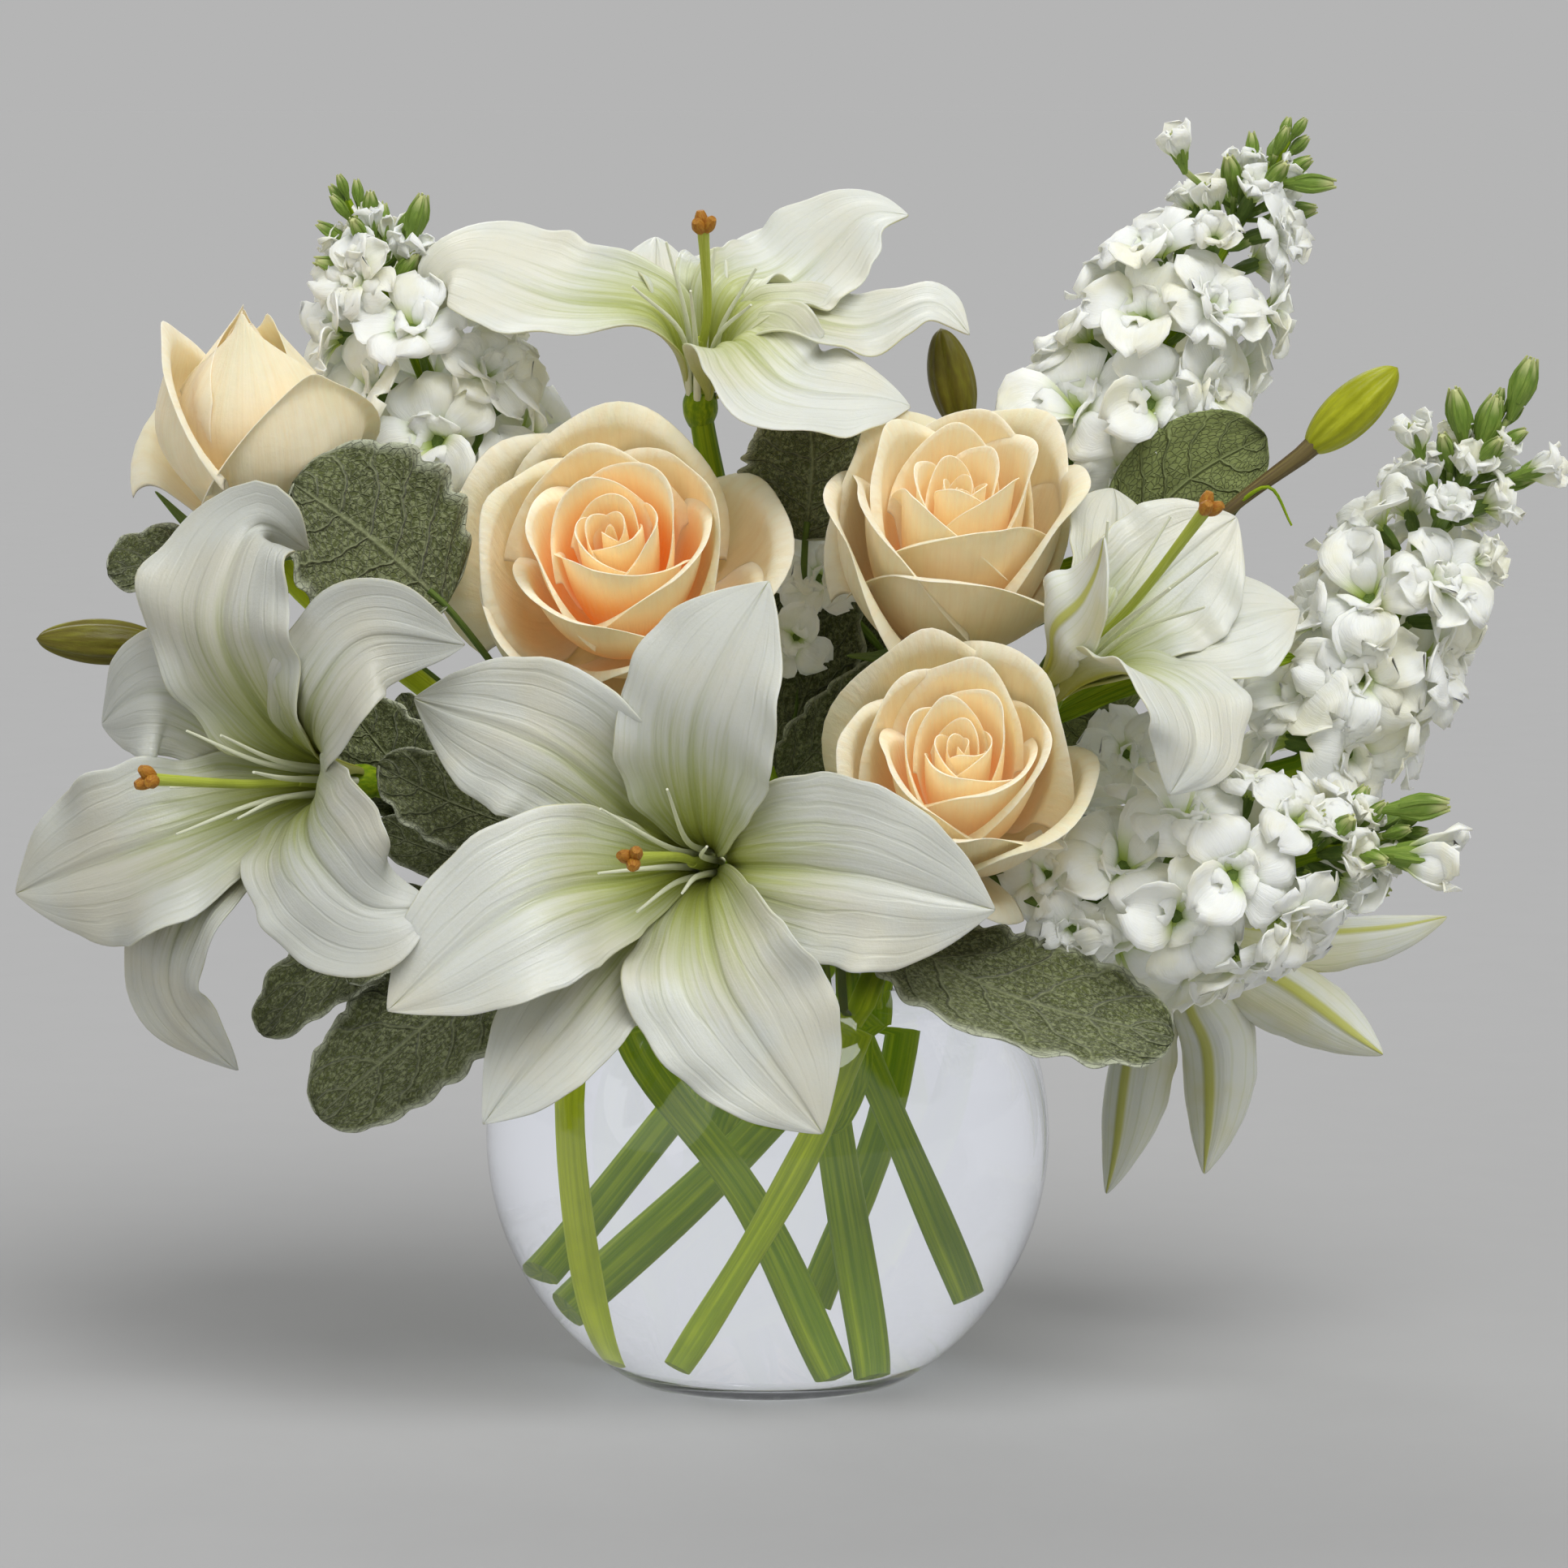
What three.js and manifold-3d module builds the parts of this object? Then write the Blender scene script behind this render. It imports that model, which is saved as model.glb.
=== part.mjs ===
// Lilies, roses and garden stock arranged in a clear glass bubble bowl of water.
// Millimetres, +Z up, origin at the centre of the bowl's flat base, front of the
// arrangement towards -Y. Every petal, stem, leaf and bloom is its own mesh.

import * as THREE from "three";
import { ParametricGeometry } from "three/addons/geometries/ParametricGeometry.js";
import { mergeVertices } from "three/addons/utils/BufferGeometryUtils.js";
import Module from "manifold-3d";

const wasm = await Module();
wasm.setup();

// ---------------------------------------------------------------- driving sizes

const BOWL_RADIUS = 75;            // outside of the glass ball
const BOWL_BASE_RADIUS = 38;       // flat ground foot
const BOWL_MOUTH_RADIUS = 46;      // outside of the rim
const BOWL_WALL = 3;
const BOWL_FLOOR = 5;              // glass left under the water
const WATER_LEVEL = 102;
const CLEARANCE = 0.3;             // kept between pieces that touch

const TEPAL_THICKNESS = 1;
const LEAF_THICKNESS = 0.9;
const LILY_STEM_RADIUS = 4.2;
const LILY_TUBE_LENGTH = 34;       // from the receptacle to the open throat
const PISTIL_RADIUS = 1.5;
const STIGMA_RADIUS = 3;
const ROSE_STEM_RADIUS = 3.6;
const STOCK_STEM_RADIUS = 3.4;
const LEAF_STALK_RADIUS = 1.4;
const BUD_STALK_RADIUS = 1.8;

const ROUND_SEGMENTS = 32;         // around the bowl and the water
const BLOOM_SEGMENTS = 12;         // around a rose or a stock spike
const STEM_SIDES = 6;
const STALK_SIDES = 5;

const point = (x, y, z) => new THREE.Vector3(x, y, z);
const bowlCentreHeight = Math.sqrt(BOWL_RADIUS ** 2 - BOWL_BASE_RADIUS ** 2);

// ---------------------------------------------------------------- finishes

const finish = (color, roughness, extra = {}) =>
  new THREE.MeshStandardMaterial({ color, roughness, metalness: 0, ...extra });

const finishes = {
  glass: finish(0xe8eef2, 0.03, { transparent: true, opacity: 0.3 }),
  water: finish(0xe4e8f4, 0.02, { transparent: true, opacity: 0.25 }),
  lilyPetal: finish(0xe9ece2, 0.5),
  lilyStem: finish(0x55862a, 0.5),
  lilyBud: finish(0xa2ab26, 0.45),
  rosePetal: finish(0xf7d9b4, 0.6),
  roseStem: finish(0x6d9a33, 0.5),
  stockFloret: finish(0xf0f1ea, 0.6),
  feltLeaf: finish(0x8a9684, 0.85),
  roundLeaf: finish(0x6f8a62, 0.7),
};

// ---------------------------------------------------------------- solids

// A closed three.js geometry as a solid that can be joined and cut.
function solidFrom(geometry) {
  const bare = geometry.clone();
  bare.deleteAttribute("normal");
  bare.deleteAttribute("uv");
  const merged = mergeVertices(bare, 1e-4);
  const corners = merged.index.array;
  const faces = [];
  for (let i = 0; i < corners.length; i += 3) {
    const [a, b, c] = [corners[i], corners[i + 1], corners[i + 2]];
    if (a !== b && b !== c && c !== a) {
      faces.push(a, b, c);
    }
  }
  const vertProperties = new Float32Array(merged.attributes.position.array);
  const triVerts = new Uint32Array(faces);
  const solid = new wasm.Manifold(new wasm.Mesh({ numProp: 3, vertProperties, triVerts }));
  return solid.volume() < 0 ? solidFrom(turnedInsideOut(geometry)) : solid;
}

function turnedInsideOut(geometry) {
  const turned = geometry.index ? geometry.clone() : mergeVertices(geometry);
  const corners = turned.index.array;
  for (let i = 0; i < corners.length; i += 3) {
    [corners[i], corners[i + 1]] = [corners[i + 1], corners[i]];
  }
  return turned;
}

function geometryFrom(solid) {
  const { numProp, vertProperties, triVerts } = solid.getMesh();
  const geometry = new THREE.BufferGeometry();
  const corners = new THREE.InterleavedBuffer(new Float32Array(vertProperties), numProp);
  const positions = [];
  const positionView = new THREE.InterleavedBufferAttribute(corners, 3, 0);
  for (let i = 0; i < positionView.count; i++) {
    positions.push(positionView.getX(i), positionView.getY(i), positionView.getZ(i));
  }
  geometry.setAttribute("position", new THREE.Float32BufferAttribute(positions, 3));
  geometry.setIndex([...triVerts]);
  geometry.computeVertexNormals();
  return geometry;
}

function largestPart(solid) {
  const parts = solid.decompose();
  return parts.reduce((best, part) => (part.volume() > best.volume() ? part : best));
}

function boxesMeet(one, other) {
  const a = one.boundingBox();
  const b = other.boundingBox();
  return [0, 1, 2].every((axis) => a.min[axis] <= b.max[axis] && b.min[axis] <= a.max[axis]);
}

// ---------------------------------------------------------------- basic shapes

// A round rod through the given points.
function rod(points, radius, steps, sides = STEM_SIDES) {
  const section = new THREE.Shape();
  for (let side = 0; side < sides; side++) {
    const angle = (side / sides) * 2 * Math.PI;
    const corner = [radius * Math.cos(angle), radius * Math.sin(angle)];
    if (side === 0) {
      section.moveTo(...corner);
    } else {
      section.lineTo(...corner);
    }
  }
  const extrudePath = new THREE.CatmullRomCurve3(points, false, "centripetal");
  const options = { steps, extrudePath, bevelEnabled: false };
  return solidFrom(new THREE.ExtrudeGeometry(section, options));
}

// A turned body: profile of [radius, height] pairs from the axis back to the
// axis, stood at base with its height running along axis.
function turned(profile, base, axis, segments) {
  const outline = profile.map(([radius, height]) => new THREE.Vector2(radius, height));
  const geometry = new THREE.LatheGeometry(outline, segments);
  const turn = new THREE.Quaternion().setFromUnitVectors(point(0, 1, 0), axis.clone().normalize());
  geometry.applyQuaternion(turn);
  geometry.translate(base.x, base.y, base.z);
  return solidFrom(geometry);
}

// A thin sheet along a centreline. The face of the sheet looks towards facing,
// rolled by roll degrees. halfWidth and lift give the outline and how far the
// edges rise out of the flat, both along the length u (0 base, 1 tip).
function sheet({ centreline, facing, roll = 0, halfWidth, lift, thickness, along, grow }) {
  const acrossCells = 4;
  const loop = acrossSection(acrossCells);
  const rollAngle = THREE.MathUtils.degToRad(roll);
  const surface = (sectionPosition, u, target) => {
    const place = centreline.getPointAt(u);
    const tangent = centreline.getTangentAt(u);
    const normal = facing.clone().addScaledVector(tangent, -facing.dot(tangent)).normalize();
    normal.applyAxisAngle(tangent, rollAngle);
    const side = tangent.clone().cross(normal);
    const corner = loop[Math.round(sectionPosition * loop.length) % loop.length];
    const ended = u < 1e-6 || u > 1 - 1e-6;
    const spread = ended ? 0 : halfWidth(u) + grow;
    const half = ended ? 0 : thickness / 2 + grow;
    const rise = ended ? 0 : lift(u) * corner.across ** 2 * halfWidth(u);
    const reach = ended ? (u < 0.5 ? -grow : grow) : 0;
    target.copy(place)
      .addScaledVector(tangent, reach)
      .addScaledVector(side, corner.across * spread)
      .addScaledVector(normal, corner.face * half + rise);
  };
  const skin = new ParametricGeometry(surface, loop.length, along);
  turnDiagonals(skin, (cell) => cell % loop.length > acrossCells);
  return solidFrom(skin);
}

// Cuts the chosen four-cornered cells along their other diagonal. With the same
// diagonals on both faces, a sheet keeps its thickness where it twists.
function turnDiagonals(geometry, isChosen) {
  const corners = geometry.index.array;
  for (let cell = 0; cell * 6 < corners.length; cell++) {
    if (isChosen(cell)) {
      const [a, b, d, , c] = corners.slice(cell * 6, cell * 6 + 6);
      corners.set([a, b, c, a, c, d], cell * 6);
    }
  }
}

// Corners round a flat section: across runs -1..1, face is +1 or -1.
function acrossSection(cells) {
  const steps = [...Array(cells + 1).keys()].map((step) => (2 * step) / cells - 1);
  const upper = steps.map((across) => ({ across, face: 1 }));
  const lower = steps.map((across) => ({ across: -across, face: -1 }));
  return [...upper, ...lower];
}

// ---------------------------------------------------------------- bowl and water

function arc(radius, fromHeight, toHeight, steps) {
  const from = Math.asin((fromHeight - bowlCentreHeight) / radius);
  const to = Math.asin((toHeight - bowlCentreHeight) / radius);
  return [...Array(steps + 1).keys()].map((step) => {
    const angle = from + ((to - from) * step) / steps;
    return [radius * Math.cos(angle), bowlCentreHeight + radius * Math.sin(angle)];
  });
}

function glassBowl(grow) {
  const outer = BOWL_RADIUS + grow;
  const inner = BOWL_RADIUS - BOWL_WALL - grow;
  const rimHeight = bowlCentreHeight + Math.sqrt(BOWL_RADIUS ** 2 - BOWL_MOUTH_RADIUS ** 2);
  const lipRadius = BOWL_MOUTH_RADIUS - BOWL_WALL / 2;
  const profile = [
    [0, -grow],
    ...arc(outer, -grow, rimHeight - 1, 11),
    [lipRadius + 0.8 + grow, rimHeight + 0.6 + grow],
    [lipRadius - 0.8 - grow, rimHeight + 0.6 + grow],
    ...arc(inner, rimHeight - 3, BOWL_FLOOR + grow, 11),
    [0, BOWL_FLOOR + grow],
  ];
  return turned(profile, point(0, 0, 0), point(0, 0, 1), ROUND_SEGMENTS);
}

function bowlWater(grow) {
  const gapToGlass = 2 * CLEARANCE;
  const radius = BOWL_RADIUS - BOWL_WALL - gapToGlass + grow;
  const floor = BOWL_FLOOR + gapToGlass;
  const profile = [[0, floor], ...arc(radius, floor, WATER_LEVEL, 11), [0, WATER_LEVEL]];
  return turned(profile, point(0, 0, 0), point(0, 0, 1), ROUND_SEGMENTS);
}

// ---------------------------------------------------------------- lilies

// Each lily has its receptacle, the way it faces, and the route of its stem from
// the bowl up. Tepals 1, 3 and 5 are the broad inner ones. A tepal's points run
// from past the throat to its tip.
const lilies = {
  lily_a: {
    receptacle: point(-105, -25, 162),
    axis: point(-0.66, -0.74, 0.1),
    pistil: 78,
    stem: [point(14, -8, 14), point(-3, -9, 51), point(-29, -10, 88), point(-38, -13, 124),
      point(-62, -18, 148), point(-105, -25, 162)],
    tepals: [
      { points: [point(-139, -58, 206), point(-130, -46, 231), point(-118, -44, 223)], width: 44 },
      { points: [point(-155, -42, 188), point(-176, -22, 177)], width: 34 },
      { points: [point(-159, -52, 149), point(-196, -36, 134)], width: 46 },
      { points: [point(-149, -56, 131), point(-155, -50, 108), point(-131, -44, 89)], width: 32 },
      { points: [point(-115, -76, 150), point(-100, -84, 137), point(-83, -82, 138)], width: 44 },
      { points: [point(-114, -68, 189), point(-101, -72, 204), point(-76, -70, 202)], width: 32 },
    ],
  },
  lily_b: {
    receptacle: point(-13, -30, 141),
    axis: point(-0.26, -0.95, 0.15),
    pistil: 80,
    stem: [point(-14, -24, 90), point(-13, -30, 124), point(-13, -30, 141)],
    tepals: [
      { points: [point(-17, -80, 186), point(0, -84, 220)], width: 44 },
      { points: [point(24, -78, 145), point(57, -80, 137)], width: 46 },
      { points: [point(-11, -84, 118), point(14, -92, 81)], width: 46 },
      { points: [point(-50, -78, 108), point(-72, -86, 83)], width: 32 },
      { points: [point(-60, -86, 139), point(-96, -88, 112)], width: 44 },
      { points: [point(-56, -66, 176), point(-91, -54, 187)], width: 42 },
    ],
  },
  lily_c: {
    receptacle: point(-18, 26, 256),
    axis: point(0.02, -0.58, 0.81),
    pistil: 64,
    stem: [point(22, -5, 13), point(13, 4, 65), point(6, 18, 124), point(-6, 34, 190),
      point(-18, 26, 256)],
    tepals: [
      { points: [point(-54, 14, 286), point(-84, 22, 294), point(-92, 26, 282)], width: 42 },
      { points: [point(-29, 46, 288), point(-30, 58, 303)], width: 28 },
      { points: [point(7, 30, 290), point(27, 34, 308), point(37, 32, 310)], width: 42 },
      { points: [point(26, 14, 278), point(44, 8, 285), point(54, 4, 279)], width: 28 },
      { points: [point(6, -8, 264), point(38, -6, 261)], width: 42 },
      { points: [point(-4, 48, 290), point(8, 62, 306)], width: 32 },
    ],
  },
  lily_d: {
    receptacle: point(71, -29, 183),
    axis: point(0.5, -0.53, 0.68),
    pistil: 82,
    stem: [point(14, -16, 90), point(14, -20, 124), point(36, -14, 150), point(58, -22, 172),
      point(71, -29, 183)],
    tepals: [
      { points: [point(84, -30, 220), point(82, -16, 240)], width: 34 },
      { points: [point(84, -58, 210), point(88, -66, 226)], width: 30 },
      { points: [point(104, -32, 217), point(122, -26, 232)], width: 42 },
      { points: [point(116, -34, 204), point(139, -24, 208)], width: 38 },
      { points: [point(104, -70, 190), point(108, -78, 178), point(102, -80, 165)], width: 42 },
      { points: [point(106, -22, 196), point(126, -4, 194)], width: 32 },
    ],
  },
  lily_e: {
    receptacle: point(104, 4, 126),
    axis: point(0.35, 0.75, -0.55),
    pistil: 66,
    stem: [point(-37, 14, 29), point(-4, 15, 60), point(28, 11, 100), point(37, 9, 124),
      point(62, 4, 138), point(88, 0, 136), point(104, 4, 126)],
    tepals: [
      { points: [point(99, 36, 84), point(94, 40, 41)], width: 30 },
      { points: [point(119, 28, 82), point(120, 34, 48)], width: 34 },
      { points: [point(141, 26, 100), point(166, 28, 81)], width: 34 },
      { points: [point(152, 38, 113), point(185, 44, 115)], width: 26 },
      { points: [point(136, 58, 132), point(154, 76, 138)], width: 34 },
      { points: [point(108, 58, 112), point(98, 80, 104)], width: 30 },
    ],
  },
};

// Broadest just past the middle, with a fuller end than foot.
const tepalHalfWidth = (width) => (u) => {
  const swell = Math.sin(Math.PI * u ** 1.3);
  return (width / 2) * (0.08 + 0.92 * swell ** (u ** 1.3 < 0.5 ? 0.8 : 0.62));
};

const tepalLift = (u) => 0.55 * (1 - u) ** 2 + 0.04;

function lilyTepal(lily, tepal, isInner, grow) {
  const axis = lily.axis.clone().normalize();
  const outward = tepal.points[0].clone().sub(lily.receptacle);
  outward.addScaledVector(axis, -outward.dot(axis)).normalize();
  const alongTube = (height, radius) =>
    lily.receptacle.clone().addScaledVector(axis, height).addScaledVector(outward, radius);
  const spacing = isInner ? 0 : 2.4;
  const tube = [
    alongTube(5 - spacing / 2, 3.6 + spacing / 2),
    alongTube(LILY_TUBE_LENGTH * 0.5, 6 + spacing),
    alongTube(LILY_TUBE_LENGTH * 0.9, 13 + spacing * 1.4),
  ];
  const centreline = new THREE.CatmullRomCurve3([...tube, ...tepal.points], false, "centripetal");
  return sheet({
    centreline,
    facing: axis,
    roll: tepal.roll ?? 0,
    halfWidth: tepalHalfWidth(tepal.width),
    lift: tepalLift,
    thickness: TEPAL_THICKNESS,
    along: 8,
    grow,
  });
}

// Stem, receptacle and pistil grow as one piece.
function lilyStem(lily, grow) {
  const axis = lily.axis.clone().normalize();
  const reach = (height) => lily.receptacle.clone().addScaledVector(axis, height);
  const stem = rod([...lily.stem, reach(4)], LILY_STEM_RADIUS + grow, 2 * lily.stem.length);
  const style = rod([reach(0), reach(lily.pistil)], PISTIL_RADIUS + grow, 1, STALK_SIDES);
  const stigmaProfile = [[0, -grow], [STIGMA_RADIUS + grow, 2], [STIGMA_RADIUS + grow, 5], [0, 6 + grow]];
  const stigma = turned(stigmaProfile, reach(lily.pistil - 3), axis, STEM_SIDES);
  return stem.add(style).add(stigma);
}

// ---------------------------------------------------------------- lily buds

const lilyBuds = {
  lily_bud_1: { stalk: [point(60, -23, 174), point(88, -10, 200), point(121, -9, 232), point(141, -8, 247)],
    tip: point(165, -6, 269), radius: 7.5 },
  lily_bud_2: { stalk: [point(-84, -21, 155), point(-112, -6, 176), point(-158, -6, 196)],
    tip: point(-192, -10, 198), radius: 6.5 },
  lily_bud_3: { stalk: [point(-6, 34, 190), point(14, 36, 214), point(40, 32, 238), point(52, 26, 250)],
    tip: point(46, 22, 278), radius: 6.5 },
};

function lilyBud(bud, grow) {
  const foot = bud.stalk.at(-1);
  const axis = bud.tip.clone().sub(foot);
  const length = axis.length();
  const outline = [[0.45, 0.04], [0.85, 0.2], [1, 0.42], [0.85, 0.68], [0.5, 0.92]];
  const profile = [
    [0, -grow],
    ...outline.map(([radius, height]) => [radius * bud.radius + grow, height * length]),
    [0, length + grow],
  ];
  const spindle = turned(profile, foot, axis, 10);
  const stalkEnd = foot.clone().addScaledVector(axis.normalize(), 4);
  return rod([...bud.stalk, stalkEnd], BUD_STALK_RADIUS + grow, 5, STALK_SIDES).add(spindle);
}

// ---------------------------------------------------------------- roses

// base is where the bloom sits on its stem; radius and height are of the bloom.
const roses = {
  rose_1: {
    base: point(-134, 8, 222), axis: point(-0.12, -0.3, 0.95), radius: 30, height: 60,
    stem: [point(-34, -6, 14), point(-40, 3, 70), point(-37, 9, 124), point(-78, 8, 172),
      point(-122, 9, 208), point(-134, 8, 222)],
  },
  rose_2: {
    base: point(-38, 12, 202), axis: point(-0.04, -0.86, 0.5), radius: 45, height: 60,
    stem: [point(38, 11, 31), point(12, 5, 97), point(0, 2, 124), point(-24, 12, 170),
      point(-38, 12, 202)],
  },
  rose_3: {
    base: point(48, 8, 200), axis: point(0.04, -0.66, 0.75), radius: 37, height: 58,
    stem: [point(22, -4, 92), point(22, 0, 124), point(38, 8, 160), point(48, 8, 200)],
  },
  rose_4: {
    base: point(50, -28, 151), axis: point(-0.02, -0.85, 0.52), radius: 36, height: 56,
    stem: [point(-21, -26, 14), point(11, -25, 70), point(31, -22, 118), point(42, -20, 138),
      point(50, -28, 151)],
  },
};

const roseOutline = [
  [0.24, 0], [0.66, 0.12], [0.92, 0.34], [1, 0.58], [0.93, 0.84], [0.74, 0.95], [0.42, 0.98],
];

function roseBloom(rose, grow) {
  const profile = [
    [0, -grow],
    ...roseOutline.map(([radius, height]) => [radius * rose.radius + grow, height * rose.height]),
    [0, rose.height * 0.93 + grow],
  ];
  return turned(profile, rose.base, rose.axis, BLOOM_SEGMENTS + 4);
}

function roseStem(rose, grow) {
  return rod(rose.stem, ROSE_STEM_RADIUS + grow, 2 * rose.stem.length);
}

// ---------------------------------------------------------------- stock

// A spike of florets runs from foot to top on its own stem. Its outline is a list
// of [share of the width, share of the length] pairs.
const tallSpike = [[0.7, 0], [1, 0.16], [0.92, 0.4], [0.8, 0.62], [0.42, 0.8], [0.22, 0.95]];
const roundSpike = [[0.6, 0], [1, 0.2], [1, 0.5], [0.6, 0.76], [0.25, 0.94]];

const stocks = {
  stock_1: { foot: point(-74, 36, 224), top: point(-114, 42, 314), radius: 32, outline: tallSpike,
    stem: [point(-20, 26, 92), point(-22, 29, 124), point(-48, 36, 176), point(-74, 36, 224)] },
  stock_2: { foot: point(84, 24, 236), top: point(141, 38, 330), radius: 30, outline: tallSpike,
    stem: [point(8, 24, 30), point(21, 24, 62), point(33, 20, 122), point(52, 40, 180),
      point(84, 24, 236)] },
  stock_3: { foot: point(144, 6, 164), top: point(196, 12, 259), radius: 27, outline: tallSpike,
    stem: [point(-38, 26, 36), point(-18, 28, 62), point(16, 29, 106), point(26, 29, 126),
      point(84, 28, 158), point(144, 6, 164)] },
  stock_4: { foot: point(84, -30, 128), top: point(166, -44, 152), radius: 31, outline: roundSpike,
    stem: [point(25, -8, 92), point(34, -8, 124), point(60, -20, 130), point(84, -30, 128)] },
};

function stockSpike(stock, grow) {
  const axis = stock.top.clone().sub(stock.foot);
  const length = axis.length();
  const profile = [
    [0, -grow],
    ...stock.outline.map(([radius, height]) => [radius * stock.radius + grow, height * length]),
    [0, length + grow],
  ];
  const florets = turned(profile, stock.foot, axis, BLOOM_SEGMENTS);
  const stemEnd = stock.foot.clone().addScaledVector(axis.normalize(), 5);
  return rod([...stock.stem, stemEnd], STOCK_STEM_RADIUS + grow, 2 * stock.stem.length).add(florets);
}

// ---------------------------------------------------------------- leaves

// A leaf's blade runs through its points; its stalk comes up out of the bowl.
const leaves = {
  leaf_left_top: { finish: "feltLeaf", width: 44, facing: point(0.1, -0.9, 0.4),
    stalk: [point(-28, 2, 96), point(-30, 0, 124), point(-62, -4, 176)],
    blade: [point(-84, -14, 207), point(-104, -20, 226), point(-123, -24, 240)] },
  leaf_far_left: { finish: "feltLeaf", width: 22, facing: point(-0.1, -0.8, 0.6),
    stalk: [point(-31, 16, 96), point(-32, 18, 124), point(-96, 18, 190)],
    blade: [point(-138, 8, 214), point(-158, 4, 217), point(-174, 0, 215)] },
  leaf_back: { finish: "feltLeaf", width: 36, facing: point(0, -0.95, 0.3),
    stalk: [point(2, 26, 96), point(-2, 29, 124), point(8, 24, 180)],
    blade: [point(10, 14, 222), point(12, 16, 243), point(10, 10, 261)] },
  leaf_over_bowl: { finish: "feltLeaf", width: 42, facing: point(0, -0.55, 0.83),
    stalk: [point(20, -26, 96), point(20, -33, 124)],
    blade: [point(30, -48, 126), point(62, -64, 112), point(104, -64, 101)] },
  leaf_lower_left: { finish: "feltLeaf", width: 40, facing: point(-0.2, -0.8, 0.55),
    stalk: [point(-28, -22, 96), point(-29, -26, 124)],
    blade: [point(-60, -36, 124), point(-92, -44, 98), point(-116, -50, 78)] },
  leaf_small_left: { finish: "feltLeaf", width: 24, facing: point(-0.4, -0.8, 0.4),
    stalk: [point(-36, -2, 96), point(-37, -3, 125)],
    blade: [point(-82, -20, 130), point(-118, -30, 111), point(-132, -34, 97)] },
  leaf_round: { finish: "roundLeaf", width: 30, facing: point(0.1, -0.95, 0.3),
    stalk: [point(32, 14, 96), point(35, 13, 125), point(68, 12, 180)],
    blade: [point(93, 2, 221), point(112, 0, 240), point(131, -2, 251)] },
  leaf_pale_edge: { finish: "feltLeaf", width: 22, facing: point(-0.2, -0.9, 0.4),
    stalk: [point(-20, -30, 96), point(-22, -32, 124)],
    blade: [point(-60, -38, 150), point(-84, -42, 160), point(-100, -46, 169)] },
};

const leafHalfWidth = (width) => (u) => (width / 2) * Math.sin(Math.PI * u ** 0.9) ** 0.55;

function leaf(kind, grow) {
  const centreline = new THREE.CatmullRomCurve3(kind.blade, false, "centripetal");
  const blade = sheet({
    centreline,
    facing: kind.facing.clone().normalize(),
    halfWidth: leafHalfWidth(kind.width),
    lift: () => 0.08,
    thickness: LEAF_THICKNESS,
    along: 6,
    grow,
  });
  const joint = centreline.getPointAt(0.16);
  return rod([...kind.stalk, kind.blade[0], joint], LEAF_STALK_RADIUS + grow, 6, STALK_SIDES).add(blade);
}

// ---------------------------------------------------------------- arrangement

// Earlier pieces keep their shape. A later piece is cut back by CLEARANCE where
// it would touch one, and keeps its largest part.
const orders = [["glass_bowl", "glass", glassBowl]];
for (const [name, lily] of Object.entries(lilies)) {
  orders.push([`${name}_stem`, "lilyStem", (grow) => lilyStem(lily, grow)]);
}
for (const [name, rose] of Object.entries(roses)) {
  orders.push([`${name}_bloom`, "rosePetal", (grow) => roseBloom(rose, grow)]);
  orders.push([`${name}_stem`, "roseStem", (grow) => roseStem(rose, grow)]);
}
for (const [name, bud] of Object.entries(lilyBuds)) {
  orders.push([name, "lilyBud", (grow) => lilyBud(bud, grow)]);
}
for (const [name, lily] of Object.entries(lilies)) {
  for (const isInner of [true, false]) {
    lily.tepals.forEach((tepal, index) => {
      if ((index % 2 === 0) === isInner) {
        const make = (grow) => lilyTepal(lily, tepal, isInner, grow);
        orders.push([`${name}_tepal_${index + 1}`, "lilyPetal", make]);
      }
    });
  }
}
for (const [name, stock] of Object.entries(stocks)) {
  orders.push([name, "stockFloret", (grow) => stockSpike(stock, grow)]);
}
for (const [name, kind] of Object.entries(leaves)) {
  orders.push([name, kind.finish, (grow) => leaf(kind, grow)]);
}
orders.push(["water", "water", bowlWater]);

const arrangement = new THREE.Group();
const placed = [];
for (const [name, finishName, make] of orders) {
  let solid = make(0);
  for (const earlier of placed) {
    if (boxesMeet(solid, earlier)) {
      solid = solid.subtract(earlier);
    }
  }
  solid = largestPart(solid);
  placed.push(make(CLEARANCE));
  const mesh = new THREE.Mesh(geometryFrom(solid), finishes[finishName]);
  mesh.name = name;
  arrangement.add(mesh);
}

export default arrangement;
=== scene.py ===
"""Looks of an arrangement of lilies, roses and garden stock in a glass bubble bowl of water.

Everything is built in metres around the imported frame. Routes and sizes of the plants are
written in millimetres, as a florist would measure them, and turned into metres once.
"""

import math
import random
from functools import cached_property

import bpy
import numpy as np
from mathutils import Matrix, Vector


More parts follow.
